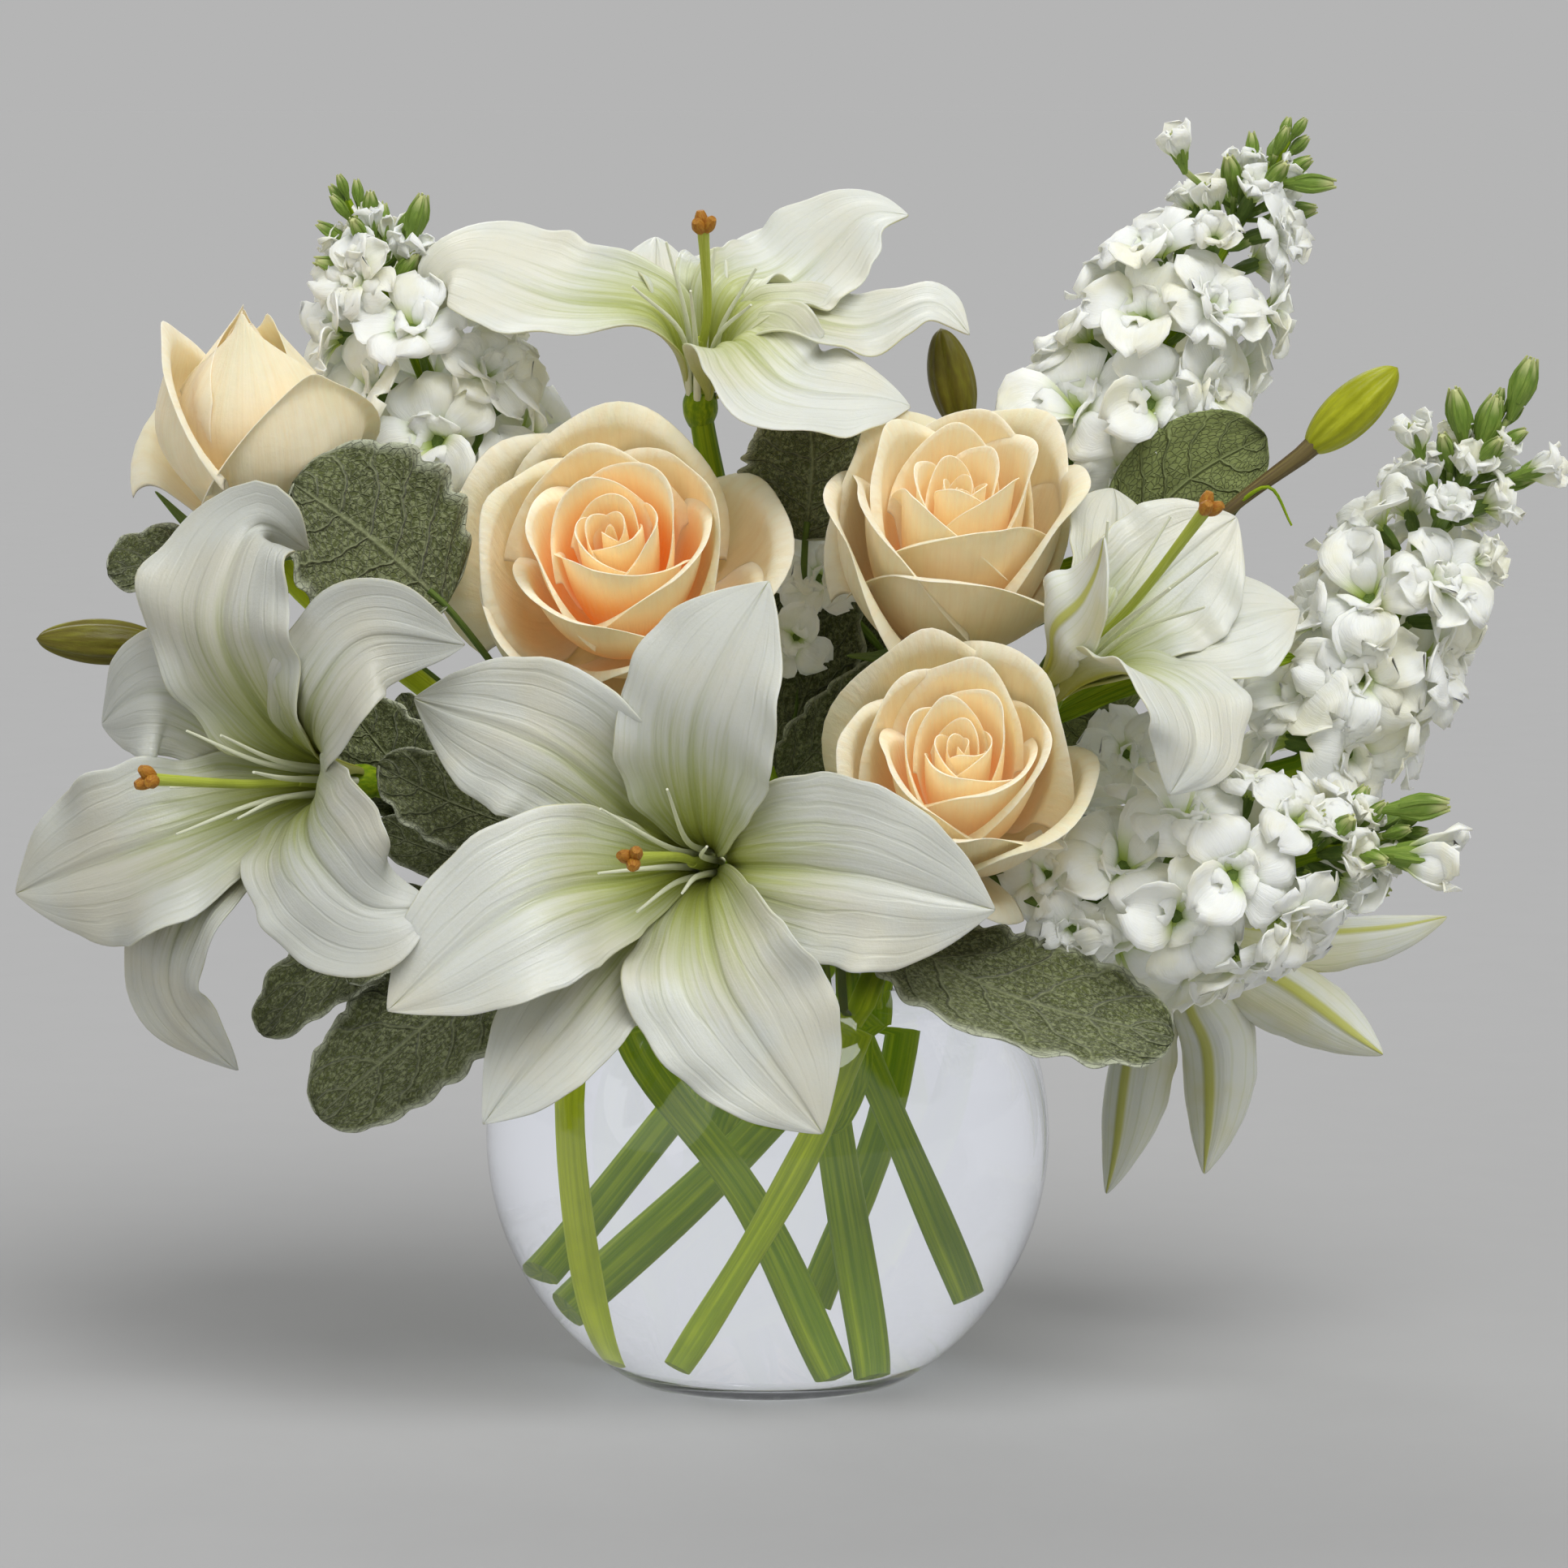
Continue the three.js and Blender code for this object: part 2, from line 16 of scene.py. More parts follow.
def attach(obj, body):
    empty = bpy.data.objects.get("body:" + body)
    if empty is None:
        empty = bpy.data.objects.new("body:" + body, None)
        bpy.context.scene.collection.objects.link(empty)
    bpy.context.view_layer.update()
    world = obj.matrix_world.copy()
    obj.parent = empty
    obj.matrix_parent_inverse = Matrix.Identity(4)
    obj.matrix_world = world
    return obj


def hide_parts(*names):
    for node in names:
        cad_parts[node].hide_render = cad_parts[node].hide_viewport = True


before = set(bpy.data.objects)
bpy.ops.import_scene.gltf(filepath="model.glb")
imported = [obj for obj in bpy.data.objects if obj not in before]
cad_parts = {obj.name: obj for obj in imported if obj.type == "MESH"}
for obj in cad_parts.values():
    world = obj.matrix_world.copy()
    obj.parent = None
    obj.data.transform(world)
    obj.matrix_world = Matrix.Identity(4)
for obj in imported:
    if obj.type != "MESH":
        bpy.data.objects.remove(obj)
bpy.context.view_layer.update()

bl_info = {
    "name": "Lily Bowl Arrangement",
    "version": (1, 0, 0),
    "blender": (4, 5, 0),
    "location": "View3D > Sidebar > Bouquet",
    "description": "Builds a bouquet of lilies, roses and stock in a glass bowl of water",
    "category": "Add Mesh",
}

MM = 0.001
TAU = 2 * math.pi
GOLDEN_ANGLE = math.radians(137.5)
BLACK = (0.0, 0.0, 0.0)

# Bowl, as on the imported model, in millimetres.
BOWL_RADIUS = 75.0
BOWL_BASE_RADIUS = 38.0
BOWL_MOUTH_RADIUS = 46.0
BOWL_WALL = 3.0
BOWL_FLOOR = 5.0
BOWL_FLOOR_RADIUS = 34.0
BOWL_CENTRE = math.sqrt(BOWL_RADIUS**2 - BOWL_BASE_RADIUS**2)
WATER_LEVEL = 102.0
WATER_INTO_GLASS = 0.08
TURNED_STEPS = 96

# Radii of stems, in millimetres, and thicknesses of sheets, in metres.
LILY_STEM_RADIUS = 4.0
ROSE_STEM_RADIUS = 3.3
STOCK_STEM_RADIUS = 3.2
LEAF_THICKNESS = 0.0008
SEPAL_THICKNESS = 0.0006
FLORET_THICKNESS = 0.00045

# Scallops of felted leaves: their length in millimetres, and depth as a share of the width.
SCALLOP_LENGTH = 12
SCALLOP_DEPTH = 0.13

# Camera, as in the photograph. VIEW_WIDTH is how much it sees at its target, in metres.
CAMERA_TARGET = Vector((0.00436, 0, 0.1584))
CAMERA_TILT = math.radians(7)
SENSOR_WIDTH = 36
VIEW_WIDTH = 0.4152

# Lamps: the way towards them, their share of the key light, and their size in degrees.
LAMPS = {"key": ((0.42, -0.8, 1.25), 1.0, 42), "fill": ((-0.9, -0.8, 0.5), 0.2, 50),
         "back": ((-0.35, 0.9, 0.8), 0.45, 40)}
FLOOR_RADIUS = 30

# Lilies: receptacle, axis, stem route, pistil length and the six tepals, then tone, a painted
# shade that darkens a lily standing in less light, and how cupped its tepals are, where it
# differs. Each tepal is its route past the throat, its width, how much it waves and how far it
# turns, in degrees. The first, third and fifth are the broad inner ones.
LILY_TUBE = 34.0
TEPAL_CUP = 0.16
LILIES = {
    "lily_a": {
        "receptacle": (-105, -25, 162), "axis": (-0.66, -0.74, 0.1), "pistil": 78, "tone": 0.76,
        "stem": [(14, -8, 14), (-3, -9, 51), (-29, -10, 88), (-38, -13, 124),
                 (-62, -18, 148), (-105, -25, 162)],
        "tepals": [
            ([(-139, -58, 206), (-130, -46, 231), (-118, -44, 223)], 46, 0.16, 10),
            ([(-155, -42, 188), (-176, -22, 177)], 36, 0.06, 0),
            ([(-159, -52, 149), (-196, -36, 134)], 48, 0.14, 0),
            ([(-148, -56, 133), (-154, -52, 112), (-138, -48, 88)], 29, 0.05, -8),
            ([(-115, -76, 150), (-100, -84, 137), (-83, -82, 138)], 46, 0.07, -10),
            ([(-114, -68, 189), (-101, -72, 204), (-76, -70, 202)], 34, 0.05, 10),
        ],
    },
    "lily_b": {
        "receptacle": (-13, -30, 141), "axis": (-0.26, -0.95, 0.15), "pistil": 80, "tone": 0.93,
        "stem": [(-14, -24, 90), (-13, -30, 124), (-13, -30, 141)],
        "tepals": [
            ([(-17, -80, 186), (0, -84, 220)], 46, 0.07, 0),
            ([(24, -84, 145), (57, -89, 137)], 50, 0.06, 0),
            ([(-11, -84, 118), (14, -92, 81)], 48, 0.08, 0),
            ([(-50, -78, 108), (-72, -86, 83)], 34, 0.05, 0),
            ([(-60, -86, 139), (-96, -88, 112)], 46, 0.07, 0),
            ([(-56, -66, 176), (-91, -54, 187)], 44, 0.08, 0),
        ],
    },
    "lily_c": {
        "receptacle": (-18, 26, 256), "axis": (0.02, -0.58, 0.81), "pistil": 64,
        "stem": [(22, -5, 13), (13, 4, 65), (6, 18, 124), (-6, 34, 190), (-18, 26, 256)],
        "tepals": [
            ([(-54, 14, 286), (-84, 22, 294), (-92, 26, 282)], 44, 0.05, 0),
            ([(-29, 46, 288), (-30, 58, 303)], 30, 0.06, 0),
            ([(7, 30, 290), (27, 34, 308), (37, 32, 310)], 42, 0.08, 0),
            ([(26, 14, 278), (44, 8, 285), (54, 4, 279)], 28, 0.07, 0),
            ([(6, -8, 264), (38, -6, 261)], 42, 0.1, 0),
            ([(-4, 48, 290), (8, 62, 306)], 34, 0.08, 0),
        ],
    },
    "lily_d": {
        "receptacle": (71, -29, 183), "axis": (0.5, -0.53, 0.68), "pistil": 82,
        "stem": [(14, -16, 90), (14, -20, 124), (36, -14, 150), (58, -22, 172), (71, -29, 183)],
        "tepals": [
            ([(90, -28, 222), (92, -12, 240)], 30, 0.03, 0),
            ([(80, -60, 213), (87, -66, 229)], 26, 0.01, 0),
            ([(104, -32, 217), (122, -26, 232)], 42, 0.07, 0),
            ([(116, -34, 204), (139, -24, 208)], 38, 0.08, 0),
            ([(104, -70, 190), (108, -78, 178), (102, -80, 165)], 42, 0.06, 0),
            ([(106, -22, 196), (126, -4, 194)], 32, 0.05, 0),
        ],
    },
    "lily_e": {
        "receptacle": (104, 4, 126), "axis": (0.35, 0.75, -0.55), "cup": 1.5, "pistil": 66,
        "stem": [(-37, 14, 29), (-4, 15, 60), (28, 11, 100), (37, 9, 124), (62, 4, 138),
                 (88, 0, 136), (104, 4, 126)],
        "tepals": [
            ([(99, 36, 84), (94, 40, 41)], 30, 0.03, 0),
            ([(119, 28, 82), (120, 34, 48)], 34, 0.03, 0),
            ([(141, 26, 100), (166, 28, 81)], 34, 0.03, 0),
            ([(152, 38, 113), (185, 44, 115)], 26, 0.03, 0),
            ([(136, 58, 132), (154, 76, 138)], 34, 0.05, 0),
            ([(108, 58, 112), (98, 80, 104)], 30, 0.05, 0),
        ],
    },
}

# Lily buds: stalk route, tip, radius at the broadest, and finishes.
LILY_BUDS = {
    "lily_bud_1": {
        "stalk": [(60, -23, 174), (88, -10, 200), (121, -9, 232), (141, -8, 247)],
        "tip": (165, -6, 269), "radius": 6.8, "finish": "bud",
        "stalk_finish": "brown stalk",
        "tendril": [(121, -9, 232), (131, -12, 238), (137, -13, 228)]},
    "lily_bud_2": {
        "stalk": [(-84, -21, 155), (-112, -6, 176), (-158, -6, 196)],
        "tip": (-192, -10, 198), "radius": 6.2, "finish": "dark bud",
        "stalk_finish": "stem"},
    "lily_bud_3": {
        "stalk": [(-6, 34, 190), (14, 36, 214), (40, 32, 238), (52, 26, 250)],
        "tip": (46, 22, 278), "radius": 6.5, "finish": "dark bud",
        "stalk_finish": "stem"},
}

# Roses: foot of the bloom, axis, size, how open it is, the turn of its first petal, how warm
# its colour is, how yellow its stem is, and the stem's route. A rose that is open no further
# than BUD_OPENING is a bud.
BUD_OPENING = 0.3
ROSES = {
    "rose_1": {
        "base": (-135, 8, 222), "axis": (-0.02, -0.28, 0.96), "radius": 31, "height": 64,
        "open": 0.25, "turn": 1.6, "blush": 0.35, "ripe": 0.7,
        "stem": [(-34, -6, 14), (-40, 3, 70), (-37, 9, 124), (-78, 8, 172),
                 (-122, 9, 208), (-134, 8, 222)]},
    "rose_2": {
        "base": (-38, 12, 202), "axis": (-0.04, -0.86, 0.5), "radius": 45, "height": 60,
        "open": 1.0, "turn": 1.9, "blush": 1.0,
        "stem": [(38, 11, 31), (12, 5, 97), (0, 2, 124), (-24, 12, 170), (-38, 12, 202)]},
    "rose_3": {
        "base": (48, 8, 200), "axis": (0.04, -0.66, 0.75), "radius": 37, "height": 58,
        "open": 0.45, "turn": 2.5, "blush": 0.8,
        "stem": [(22, -4, 92), (22, 0, 124), (38, 8, 160), (48, 8, 200)]},
    "rose_4": {
        "base": (50, -28, 151), "axis": (-0.02, -0.85, 0.52), "radius": 36, "height": 56,
        "open": 0.6, "turn": 4.1, "blush": 0.6, "ripe": 0.25,
        "stem": [(-21, -26, 14), (11, -25, 70), (31, -22, 118), (42, -20, 138),
                 (50, -28, 151)]},
}

# Outlines of spikes: share of the radius at a share of the length.
TALL_SPIKE = [(0.75, 0), (1, 0.16), (0.97, 0.4), (0.88, 0.62), (0.55, 0.8), (0.25, 0.95)]
ROUND_SPIKE = [(0.6, 0), (1, 0.2), (1, 0.5), (0.6, 0.76), (0.25, 0.94)]
# Stock: foot and top of the spike, its radius and outline, how many florets open round it,
# the buds and shoots set one by one (kind, place, direction, size), and the stem's route.
STOCKS = {
    "stock_1": {
        "foot": (-74, 36, 224), "top": (-114, 42, 314), "radius": 32,
        "outline": TALL_SPIKE, "florets": 20,
        "buds": [("bud", (-95, 36, 303), (0.3, -0.1, 1), 1.1),
                 ("bud", (-99, 34, 290), (0.6, -0.2, 0.8), 1.0)],
        "stem": [(-20, 26, 92), (-22, 29, 124), (-48, 36, 176), (-74, 36, 224)]},
    "stock_2": {
        "foot": (84, 24, 236), "top": (141, 38, 330), "radius": 30,
        "outline": TALL_SPIKE, "florets": 23,
        "buds": [("half open", (110, 24, 322), (-0.3, -0.3, 1), 0.9),
                 ("bud", (141, 30, 316), (0.9, -0.2, 0), 1.1)],
        "shoots": [("floret", (14, 20, 211), (-0.2, -1, 0.3), 0.7),
                   ("floret", (8, 18, 196), (-0.3, -1, -0.2), 0.62)],
        "shoot_from": (50, 38, 172),
        "stem": [(8, 24, 30), (21, 24, 62), (33, 20, 122), (52, 40, 180), (84, 24, 236)]},
    "stock_3": {
        "foot": (144, 6, 164), "top": (196, 12, 259), "radius": 27,
        "outline": TALL_SPIKE, "florets": 22,
        "buds": [("half open", (172, 4, 246), (-0.3, -0.3, 1), 0.9),
                 ("bud", (183, 6, 252), (-0.2, -0.2, 1), 1.2),
                 ("bud", (189, 8, 250), (0.3, -0.1, 1), 1.2),
                 ("bud", (198, 10, 259), (0.35, 0, 1), 1.3),
                 ("half open", (200, 8, 240), (0.9, -0.2, 0.3), 1.0)],
        "shoots": [("floret", (95, 2, 166), (-0.1, -1, 0.2), 0.75),
                   ("floret", (84, 6, 157), (-0.4, -1, -0.2), 0.7),
                   ("floret", (110, 4, 170), (0.2, -1, 0.4), 0.75)],
        "shoot_from": (84, 26, 154),
        "stem": [(-38, 26, 36), (-18, 28, 62), (16, 29, 106), (26, 29, 126),
                 (84, 28, 158), (144, 6, 164)]},
    "stock_4": {
        "foot": (84, -30, 128), "top": (166, -44, 152), "radius": 31,
        "outline": ROUND_SPIKE, "florets": 19,
        "buds": [("bud", (163, -48, 158), (1, -0.2, 0.1), 1.3),
                 ("half open", (162, -50, 146), (1, -0.3, -0.05), 1.5)],
        "shoots": [("floret", (73, -42, 140), (-0.4, -1, 0.2), 0.68),
                   ("floret", (79, -46, 127), (-0.2, -1, -0.2), 0.66)],
        "shoot_from": (60, -20, 130),
        "stem": [(25, -8, 92), (34, -8, 124), (60, -20, 130), (84, -30, 128)]},
}

# Leaves: width, the way the blade faces, routes of stalk and blade, and smaller blades on
# the same stalk with their widths.
LEAVES = {
    "leaf_left_top": {
        "width": 52, "facing": (0.1, -0.9, 0.4),
        "stalk": [(-28, 2, 96), (-30, 0, 124), (-62, -4, 176)],
        "blade": [(-84, -14, 207), (-104, -20, 226), (-123, -24, 240)]},
    "leaf_far_left": {
        "width": 24, "facing": (-0.1, -0.8, 0.6),
        "stalk": [(-31, 16, 96), (-32, 18, 124), (-96, 18, 190)],
        "blade": [(-138, 8, 214), (-158, 4, 217), (-174, 0, 215)]},
    "leaf_back": {
        "width": 38, "facing": (0, -0.95, 0.3),
        "stalk": [(2, 26, 96), (-2, 29, 124), (8, 24, 180)],
        "blade": [(10, 14, 222), (12, 16, 243), (10, 10, 261)],
        "more": [([(2, 27, 160), (12, 22, 186), (16, 20, 216)], 26),
                 ([(0, 28, 150), (22, 14, 176), (34, 10, 190)], 20),
                 ([(8, 30, 170), (28, 30, 200), (28, 30, 232)], 24),
                 ([(-2, 30, 160), (-8, 34, 190), (4, 36, 226)], 26)]},
    "leaf_over_bowl": {
        "width": 44, "facing": (0, -0.55, 0.83),
        "stalk": [(20, -26, 96), (20, -33, 124)],
        "blade": [(30, -48, 126), (62, -64, 112), (104, -64, 101)]},
    "leaf_lower_left": {
        "width": 42, "facing": (-0.2, -0.8, 0.55),
        "stalk": [(-28, -22, 96), (-29, -26, 124)],
        "blade": [(-60, -36, 124), (-92, -44, 98), (-116, -50, 78)]},
    "leaf_small_left": {
        "width": 26, "facing": (-0.4, -0.8, 0.4),
        "stalk": [(-36, -2, 96), (-37, -3, 125)],
        "blade": [(-82, -20, 130), (-118, -30, 111), (-132, -34, 97)],
        "more": [([(-92, -36, 126), (-108, -46, 112)], 14)]},
    "leaf_round": {
        "width": 32, "facing": (0.1, -0.95, 0.3),
        "stalk": [(32, 14, 96), (35, 13, 125), (68, 12, 180)],
        "blade": [(93, 2, 221), (112, 0, 240), (131, -2, 251)],
        "more": [([(58, 12, 166), (78, 6, 176), (96, 4, 172)], 20),
                 ([(60, 14, 160), (90, 14, 186), (98, 16, 206)], 24)]},
    "leaf_pale_edge": {
        "width": 24, "facing": (-0.2, -0.9, 0.4),
        "stalk": [(-20, -30, 96), (-22, -32, 124)],
        "blade": [(-60, -38, 150), (-84, -42, 160), (-100, -46, 169)],
        "more": [([(-82, -16, 148), (-98, -17, 166), (-112, -18, 184)], 26),
                 ([(-58, -20, 140), (-76, -14, 166), (-82, -10, 188)], 26),
                 ([(-88, -14, 168), (-96, -13, 184)], 10),
                 ([(-70, -26, 138), (-104, -24, 150)], 15)]},
}

# Small leaves left on stems: the piece, their route and width.
STEM_LEAVES = {
    "rose_2": [([(17, 6, 90), (15, 3, 78), (12, 0, 64)], 12)],
    "stock_3": [([(-4, 28, 80), (-8, 24, 68), (-12, 20, 56)], 15)],
    "stock_2": [([(66, 33, 205), (92, 20, 212), (112, 8, 208)], 14)],
    "lily_d": [([(64, -20, 174), (102, -12, 190), (140, -8, 193)], 9)],
}


# ------------------------------------------------------------------ settings

def colour_property(name, description, default):
    return bpy.props.FloatVectorProperty(name=name, description=description, default=default,
                                         subtype="COLOR", size=3, min=0, max=1)


def length_property(name, description, default, low, high):
    return bpy.props.FloatProperty(name=name, description=description, default=default,
                                   min=low, max=high, unit="LENGTH")


def strength_property(name, description, default):
    return bpy.props.FloatProperty(name=name, description=description, default=default, min=0)


class BouquetSettings(bpy.types.PropertyGroup):
    """Sizes and colours that a florist would choose."""
    lily_white: colour_property("Lily white", "Main colour of the lily tepals", (0.69, 0.71, 0.65))
    lily_throat: colour_property("Lily throat", "Tint deep in the lily", (0.40, 0.45, 0.07))
    rose_outer: colour_property("Rose outer", "Outer rose petals", (0.93, 0.83, 0.60))
    rose_heart: colour_property("Rose heart", "Petals in the heart of the rose", (0.98, 0.69, 0.28))
    stock_white: colour_property("Stock white", "Stock florets", (0.90, 0.91, 0.86))
    leaf_felt: colour_property("Leaf felt", "Felted leaves", (0.10, 0.12, 0.032))
    stem_green: colour_property("Stem green", "Stems", (0.14, 0.25, 0.008))
    tepal_thickness: length_property(
        "Tepal thickness", "Thickness of a lily tepal", 0.0008, 0.0003, 0.002)
    petal_thickness: length_property(
        "Petal thickness", "Thickness of a rose petal", 0.0003, 0.0002, 0.002)
    camera_distance: length_property(
        "Camera distance", "From the camera to the arrangement", 1.6, 0.5, 5)


class StageSettings(bpy.types.PropertyGroup):
    """The floor and the light."""
    floor_colour: colour_property("Floor", "Colour of the floor", (0.391, 0.391, 0.391))
    backdrop: colour_property("Backdrop", "Grey seen behind", (0.462, 0.462, 0.462))
    seen_in_glass: colour_property(
        "Seen in glass", "Pale room seen through the bowl", (0.74, 0.75, 0.79))
    room_light: strength_property("Room light", "Strength of the soft light all round", 0.34)
    key_light: strength_property(
        "Key light", "Strength of the large soft light, upper right", 2.3)


def settings():
    return bpy.context.scene.bouquet


# ------------------------------------------------------------------ curves and frames

def unit(vector):
    vector = np.asarray(vector, float)
    return vector / np.maximum(np.linalg.norm(vector, axis=-1, keepdims=True), 1e-12)


class Route:
    """A smooth line through points, measured evenly along its length."""

    SAMPLES = 40

    def __init__(self, points):
        points = np.asarray(points, float)
        if len(points) == 2:
            points = np.array([points[0], points.mean(0), points[1]])
        padded = np.vstack([2 * points[0] - points[1], points, 2 * points[-1] - points[-2]])
        pieces = [self._stretch(padded[i:i + 4]) for i in range(len(points) - 1)]
        self.line = np.vstack([*pieces, points[-1:]])
        steps = np.linalg.norm(np.diff(self.line, axis=0), axis=1)
        self.distance = np.concatenate([[0], np.cumsum(steps)])
        self.length = self.distance[-1]

    def _stretch(self, four):
        """The smooth stretch between the middle two of four points."""
        gaps = np.sqrt(np.linalg.norm(np.diff(four, axis=0), axis=1))
        knots = np.concatenate([[0], np.cumsum(np.maximum(gaps, 1e-4))])
        t = np.linspace(knots[1], knots[2], self.SAMPLES, endpoint=False)[:, None]
        level = list(four)
        for degree in (1, 2, 3):
            raised = []
            for i in range(4 - degree):
                low, high = (i, i + degree) if degree < 3 else (1, 2)
                raised.append(
                    ((knots[high] - t) * level[i] + (t - knots[low]) * level[i + 1])
                    / (knots[high] - knots[low]))
            level = raised
        return level[0]

    def at(self, u):
        """Points at the shares u of the length."""
        wanted = np.clip(u, 0, 1) * self.length
        return np.stack([np.interp(wanted, self.distance, self.line[:, k]) for k in range(3)], 1)

    def along(self, u):
        """Unit directions at the shares u of the length."""
        reach = 0.01
        low = np.clip(np.asarray(u) - reach, 0, 1)
        high = np.clip(np.asarray(u) + reach, 0, 1)
        return unit(self.at(high) - self.at(low))


def turned_about(vectors, axes, angle):
    """Vectors turned about unit axes by an angle each."""
    cos, sin = np.cos(angle)[:, None], np.sin(angle)[:, None]
    dot = np.sum(vectors * axes, 1, keepdims=True)
    return vectors * cos + np.cross(axes, vectors) * sin + axes * dot * (1 - cos)


def two_across(axis, hint):
    """Two unit directions square to the axis and to each other."""
    side = unit(np.cross(axis, hint))
    return side, np.cross(axis, side)


def any_phase(rng):
    return rng.uniform(0, 6.28)


def standing(axis, turn=0.0):
    """Matrix that turns +Z to axis, after a turn about itself."""
    upright = Vector(axis).to_track_quat("Z", "Y").to_matrix().to_4x4()
    return upright @ Matrix.Rotation(turn, 4, "Z")


# ------------------------------------------------------------------ making pieces

def deselect_all():
    if bpy.context.object and bpy.context.object.mode != "OBJECT":
        bpy.ops.object.mode_set(mode="OBJECT")
    bpy.ops.object.select_all(action="DESELECT")


def make_active(piece):
    deselect_all()
    piece.select_set(True)
    bpy.context.view_layer.objects.active = piece


def sheet(name, across, along, surface):
    """A grid laid on surface(s, u), in millimetres, s -1..1 across and u 0..1 along.

    Its UVs run 0..1 both ways.
    """
    deselect_all()
    bpy.ops.mesh.primitive_grid_add(x_subdivisions=across, y_subdivisions=along, size=1)
    piece = bpy.context.object
    piece.name = name
    corners = np.zeros(len(piece.data.vertices) * 3)
    piece.data.vertices.foreach_get("co", corners)
    corners = corners.reshape(-1, 3)
    placed = surface(corners[:, 0] * 2, corners[:, 1] + 0.5) * MM
    piece.data.vertices.foreach_set("co", placed.ravel())
    piece.data.update()
    return piece


def apply_modifier(piece, kind, **values):
    modifier = piece.modifiers.new(kind.title(), kind)
    for name, value in values.items():
        setattr(modifier, name, value)
    make_active(piece)
    bpy.ops.object.modifier_apply(modifier=modifier.name)


def thicken(piece, thickness, smoothing=1, back=0):
    """Gives a sheet its thickness and rounds it off. Its back and rim take material back."""
    apply_modifier(piece, "SOLIDIFY", thickness=thickness, offset=0,
                   material_offset=back, material_offset_rim=back)
    if smoothing:
        apply_modifier(piece, "SUBSURF", levels=smoothing, render_levels=smoothing)
    make_active(piece)
    bpy.ops.object.shade_smooth()


def close_seams(piece):
    """Joins the edges and ends of a sheet that has been rolled up or spun."""
    make_active(piece)
    bpy.ops.object.mode_set(mode="EDIT")
    bpy.ops.mesh.select_all(action="SELECT")
    bpy.ops.mesh.remove_doubles(threshold=2e-6)
    bpy.ops.mesh.normals_make_consistent(inside=False)
    bpy.ops.object.mode_set(mode="OBJECT")


def joined(name, pieces):
    deselect_all()
    for piece in pieces:
        piece.select_set(True)
    bpy.context.view_layer.objects.active = pieces[0]
    if len(pieces) > 1:
        bpy.ops.object.join()
    result = bpy.context.object
    result.name = name
    result.data.name = name
    return result


def tube(name, finish, points, radius, sides, steps):
    """A round rod along points, of radius(u): a grid rolled up and closed at its ends."""
    route = Route(points)
    u = np.linspace(0, 1, steps + 1)
    centre, along = route.at(u), route.along(u)
    across = [unit(np.cross(along[0], [0.13, 0.31, 0.94]))]
    for tangent in along[1:]:
        across.append(unit(across[-1] - tangent * np.dot(across[-1], tangent)))
    across = np.array(across)
    other = np.cross(along, across)
    radii = np.array([radius(step) for step in u])

    def surface(s, v):
        row = np.rint(v * (steps + 2)).astype(int) - 1
        ring = np.clip(row, 0, steps)
        reach = np.where(row == ring, radii[ring], 0.0)[:, None]
        angle = math.pi * s[:, None]
        return centre[ring] + reach * (across[ring] * np.cos(angle) + other[ring] * np.sin(angle))

    piece = sheet(name, sides, steps + 2, surface)
    close_seams(piece)
    bpy.ops.object.shade_smooth_by_angle(angle=math.radians(50))
    return dress(piece, finish)


def lathe(name, finish, profile):
    """A turned body from (radius, height) pairs that start and end on the axis."""
    mesh = bpy.data.meshes.new(name)
    corners = [(-radius * MM, 0, height * MM) for radius, height in profile]
    mesh.from_pydata(corners, [(i, i + 1) for i in range(len(corners) - 1)], [])
    piece = bpy.data.objects.new(name, mesh)
    bpy.context.collection.objects.link(piece)
    make_active(piece)
    bpy.ops.object.mode_set(mode="EDIT")
    bpy.ops.mesh.select_all(action="SELECT")
    bpy.ops.mesh.spin(steps=TURNED_STEPS, angle=TAU, center=(0, 0, 0), axis=(0, 0, 1))
    close_seams(piece)
    bpy.ops.object.shade_smooth()
    return dress(piece, finish)


def copy_of(pattern, matrix, name):
    piece = bpy.data.objects.new(name, pattern.data.copy())
    piece.data.transform(matrix)
    bpy.context.collection.objects.link(piece)
    return piece


def mark(piece, name, value):
    """One number for the whole piece, as an attribute that its material reads."""
    layer = piece.data.attributes.new(name, "FLOAT", "POINT")
    layer.data.foreach_set("value", np.full(len(piece.data.vertices), value, np.float32))


def finish_piece(piece, node):
    """Every piece rides on the one body and stands for one CAD node."""
    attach(piece, "root")
    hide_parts(node)


# ------------------------------------------------------------------ materials

class Field:
    """A node's output that varies over a surface. Arithmetic on fields places math nodes."""

    def __init__(self, sketch, socket):
        self.sketch, self.socket = sketch, socket

    def __getitem__(self, output):
        """Another output of the same node."""
        return Field(self.sketch, self.socket.node.outputs[output])

    def __add__(self, other):
        return self.sketch.math("ADD", self, other)

    def __sub__(self, other):
        return self.sketch.math("SUBTRACT", self, other)

    def __rsub__(self, other):
        return self.sketch.math("SUBTRACT", other, self)

    def __mul__(self, other):
        return self.sketch.math("MULTIPLY", self, other)

    def __abs__(self):
        return self.sketch.math("ABSOLUTE", self)

    def range(self, low, high, new_low=0.0, new_high=1.0, kind="SMOOTHSTEP"):
        """Carries low..high over to new_low..new_high, and holds still outside it."""
        values = {"Value": self, "From Min": low, "From Max": high,
                  "To Min": new_low, "To Max": new_high}
        return self.sketch.node("ShaderNodeMapRange", values, interpolation_type=kind)


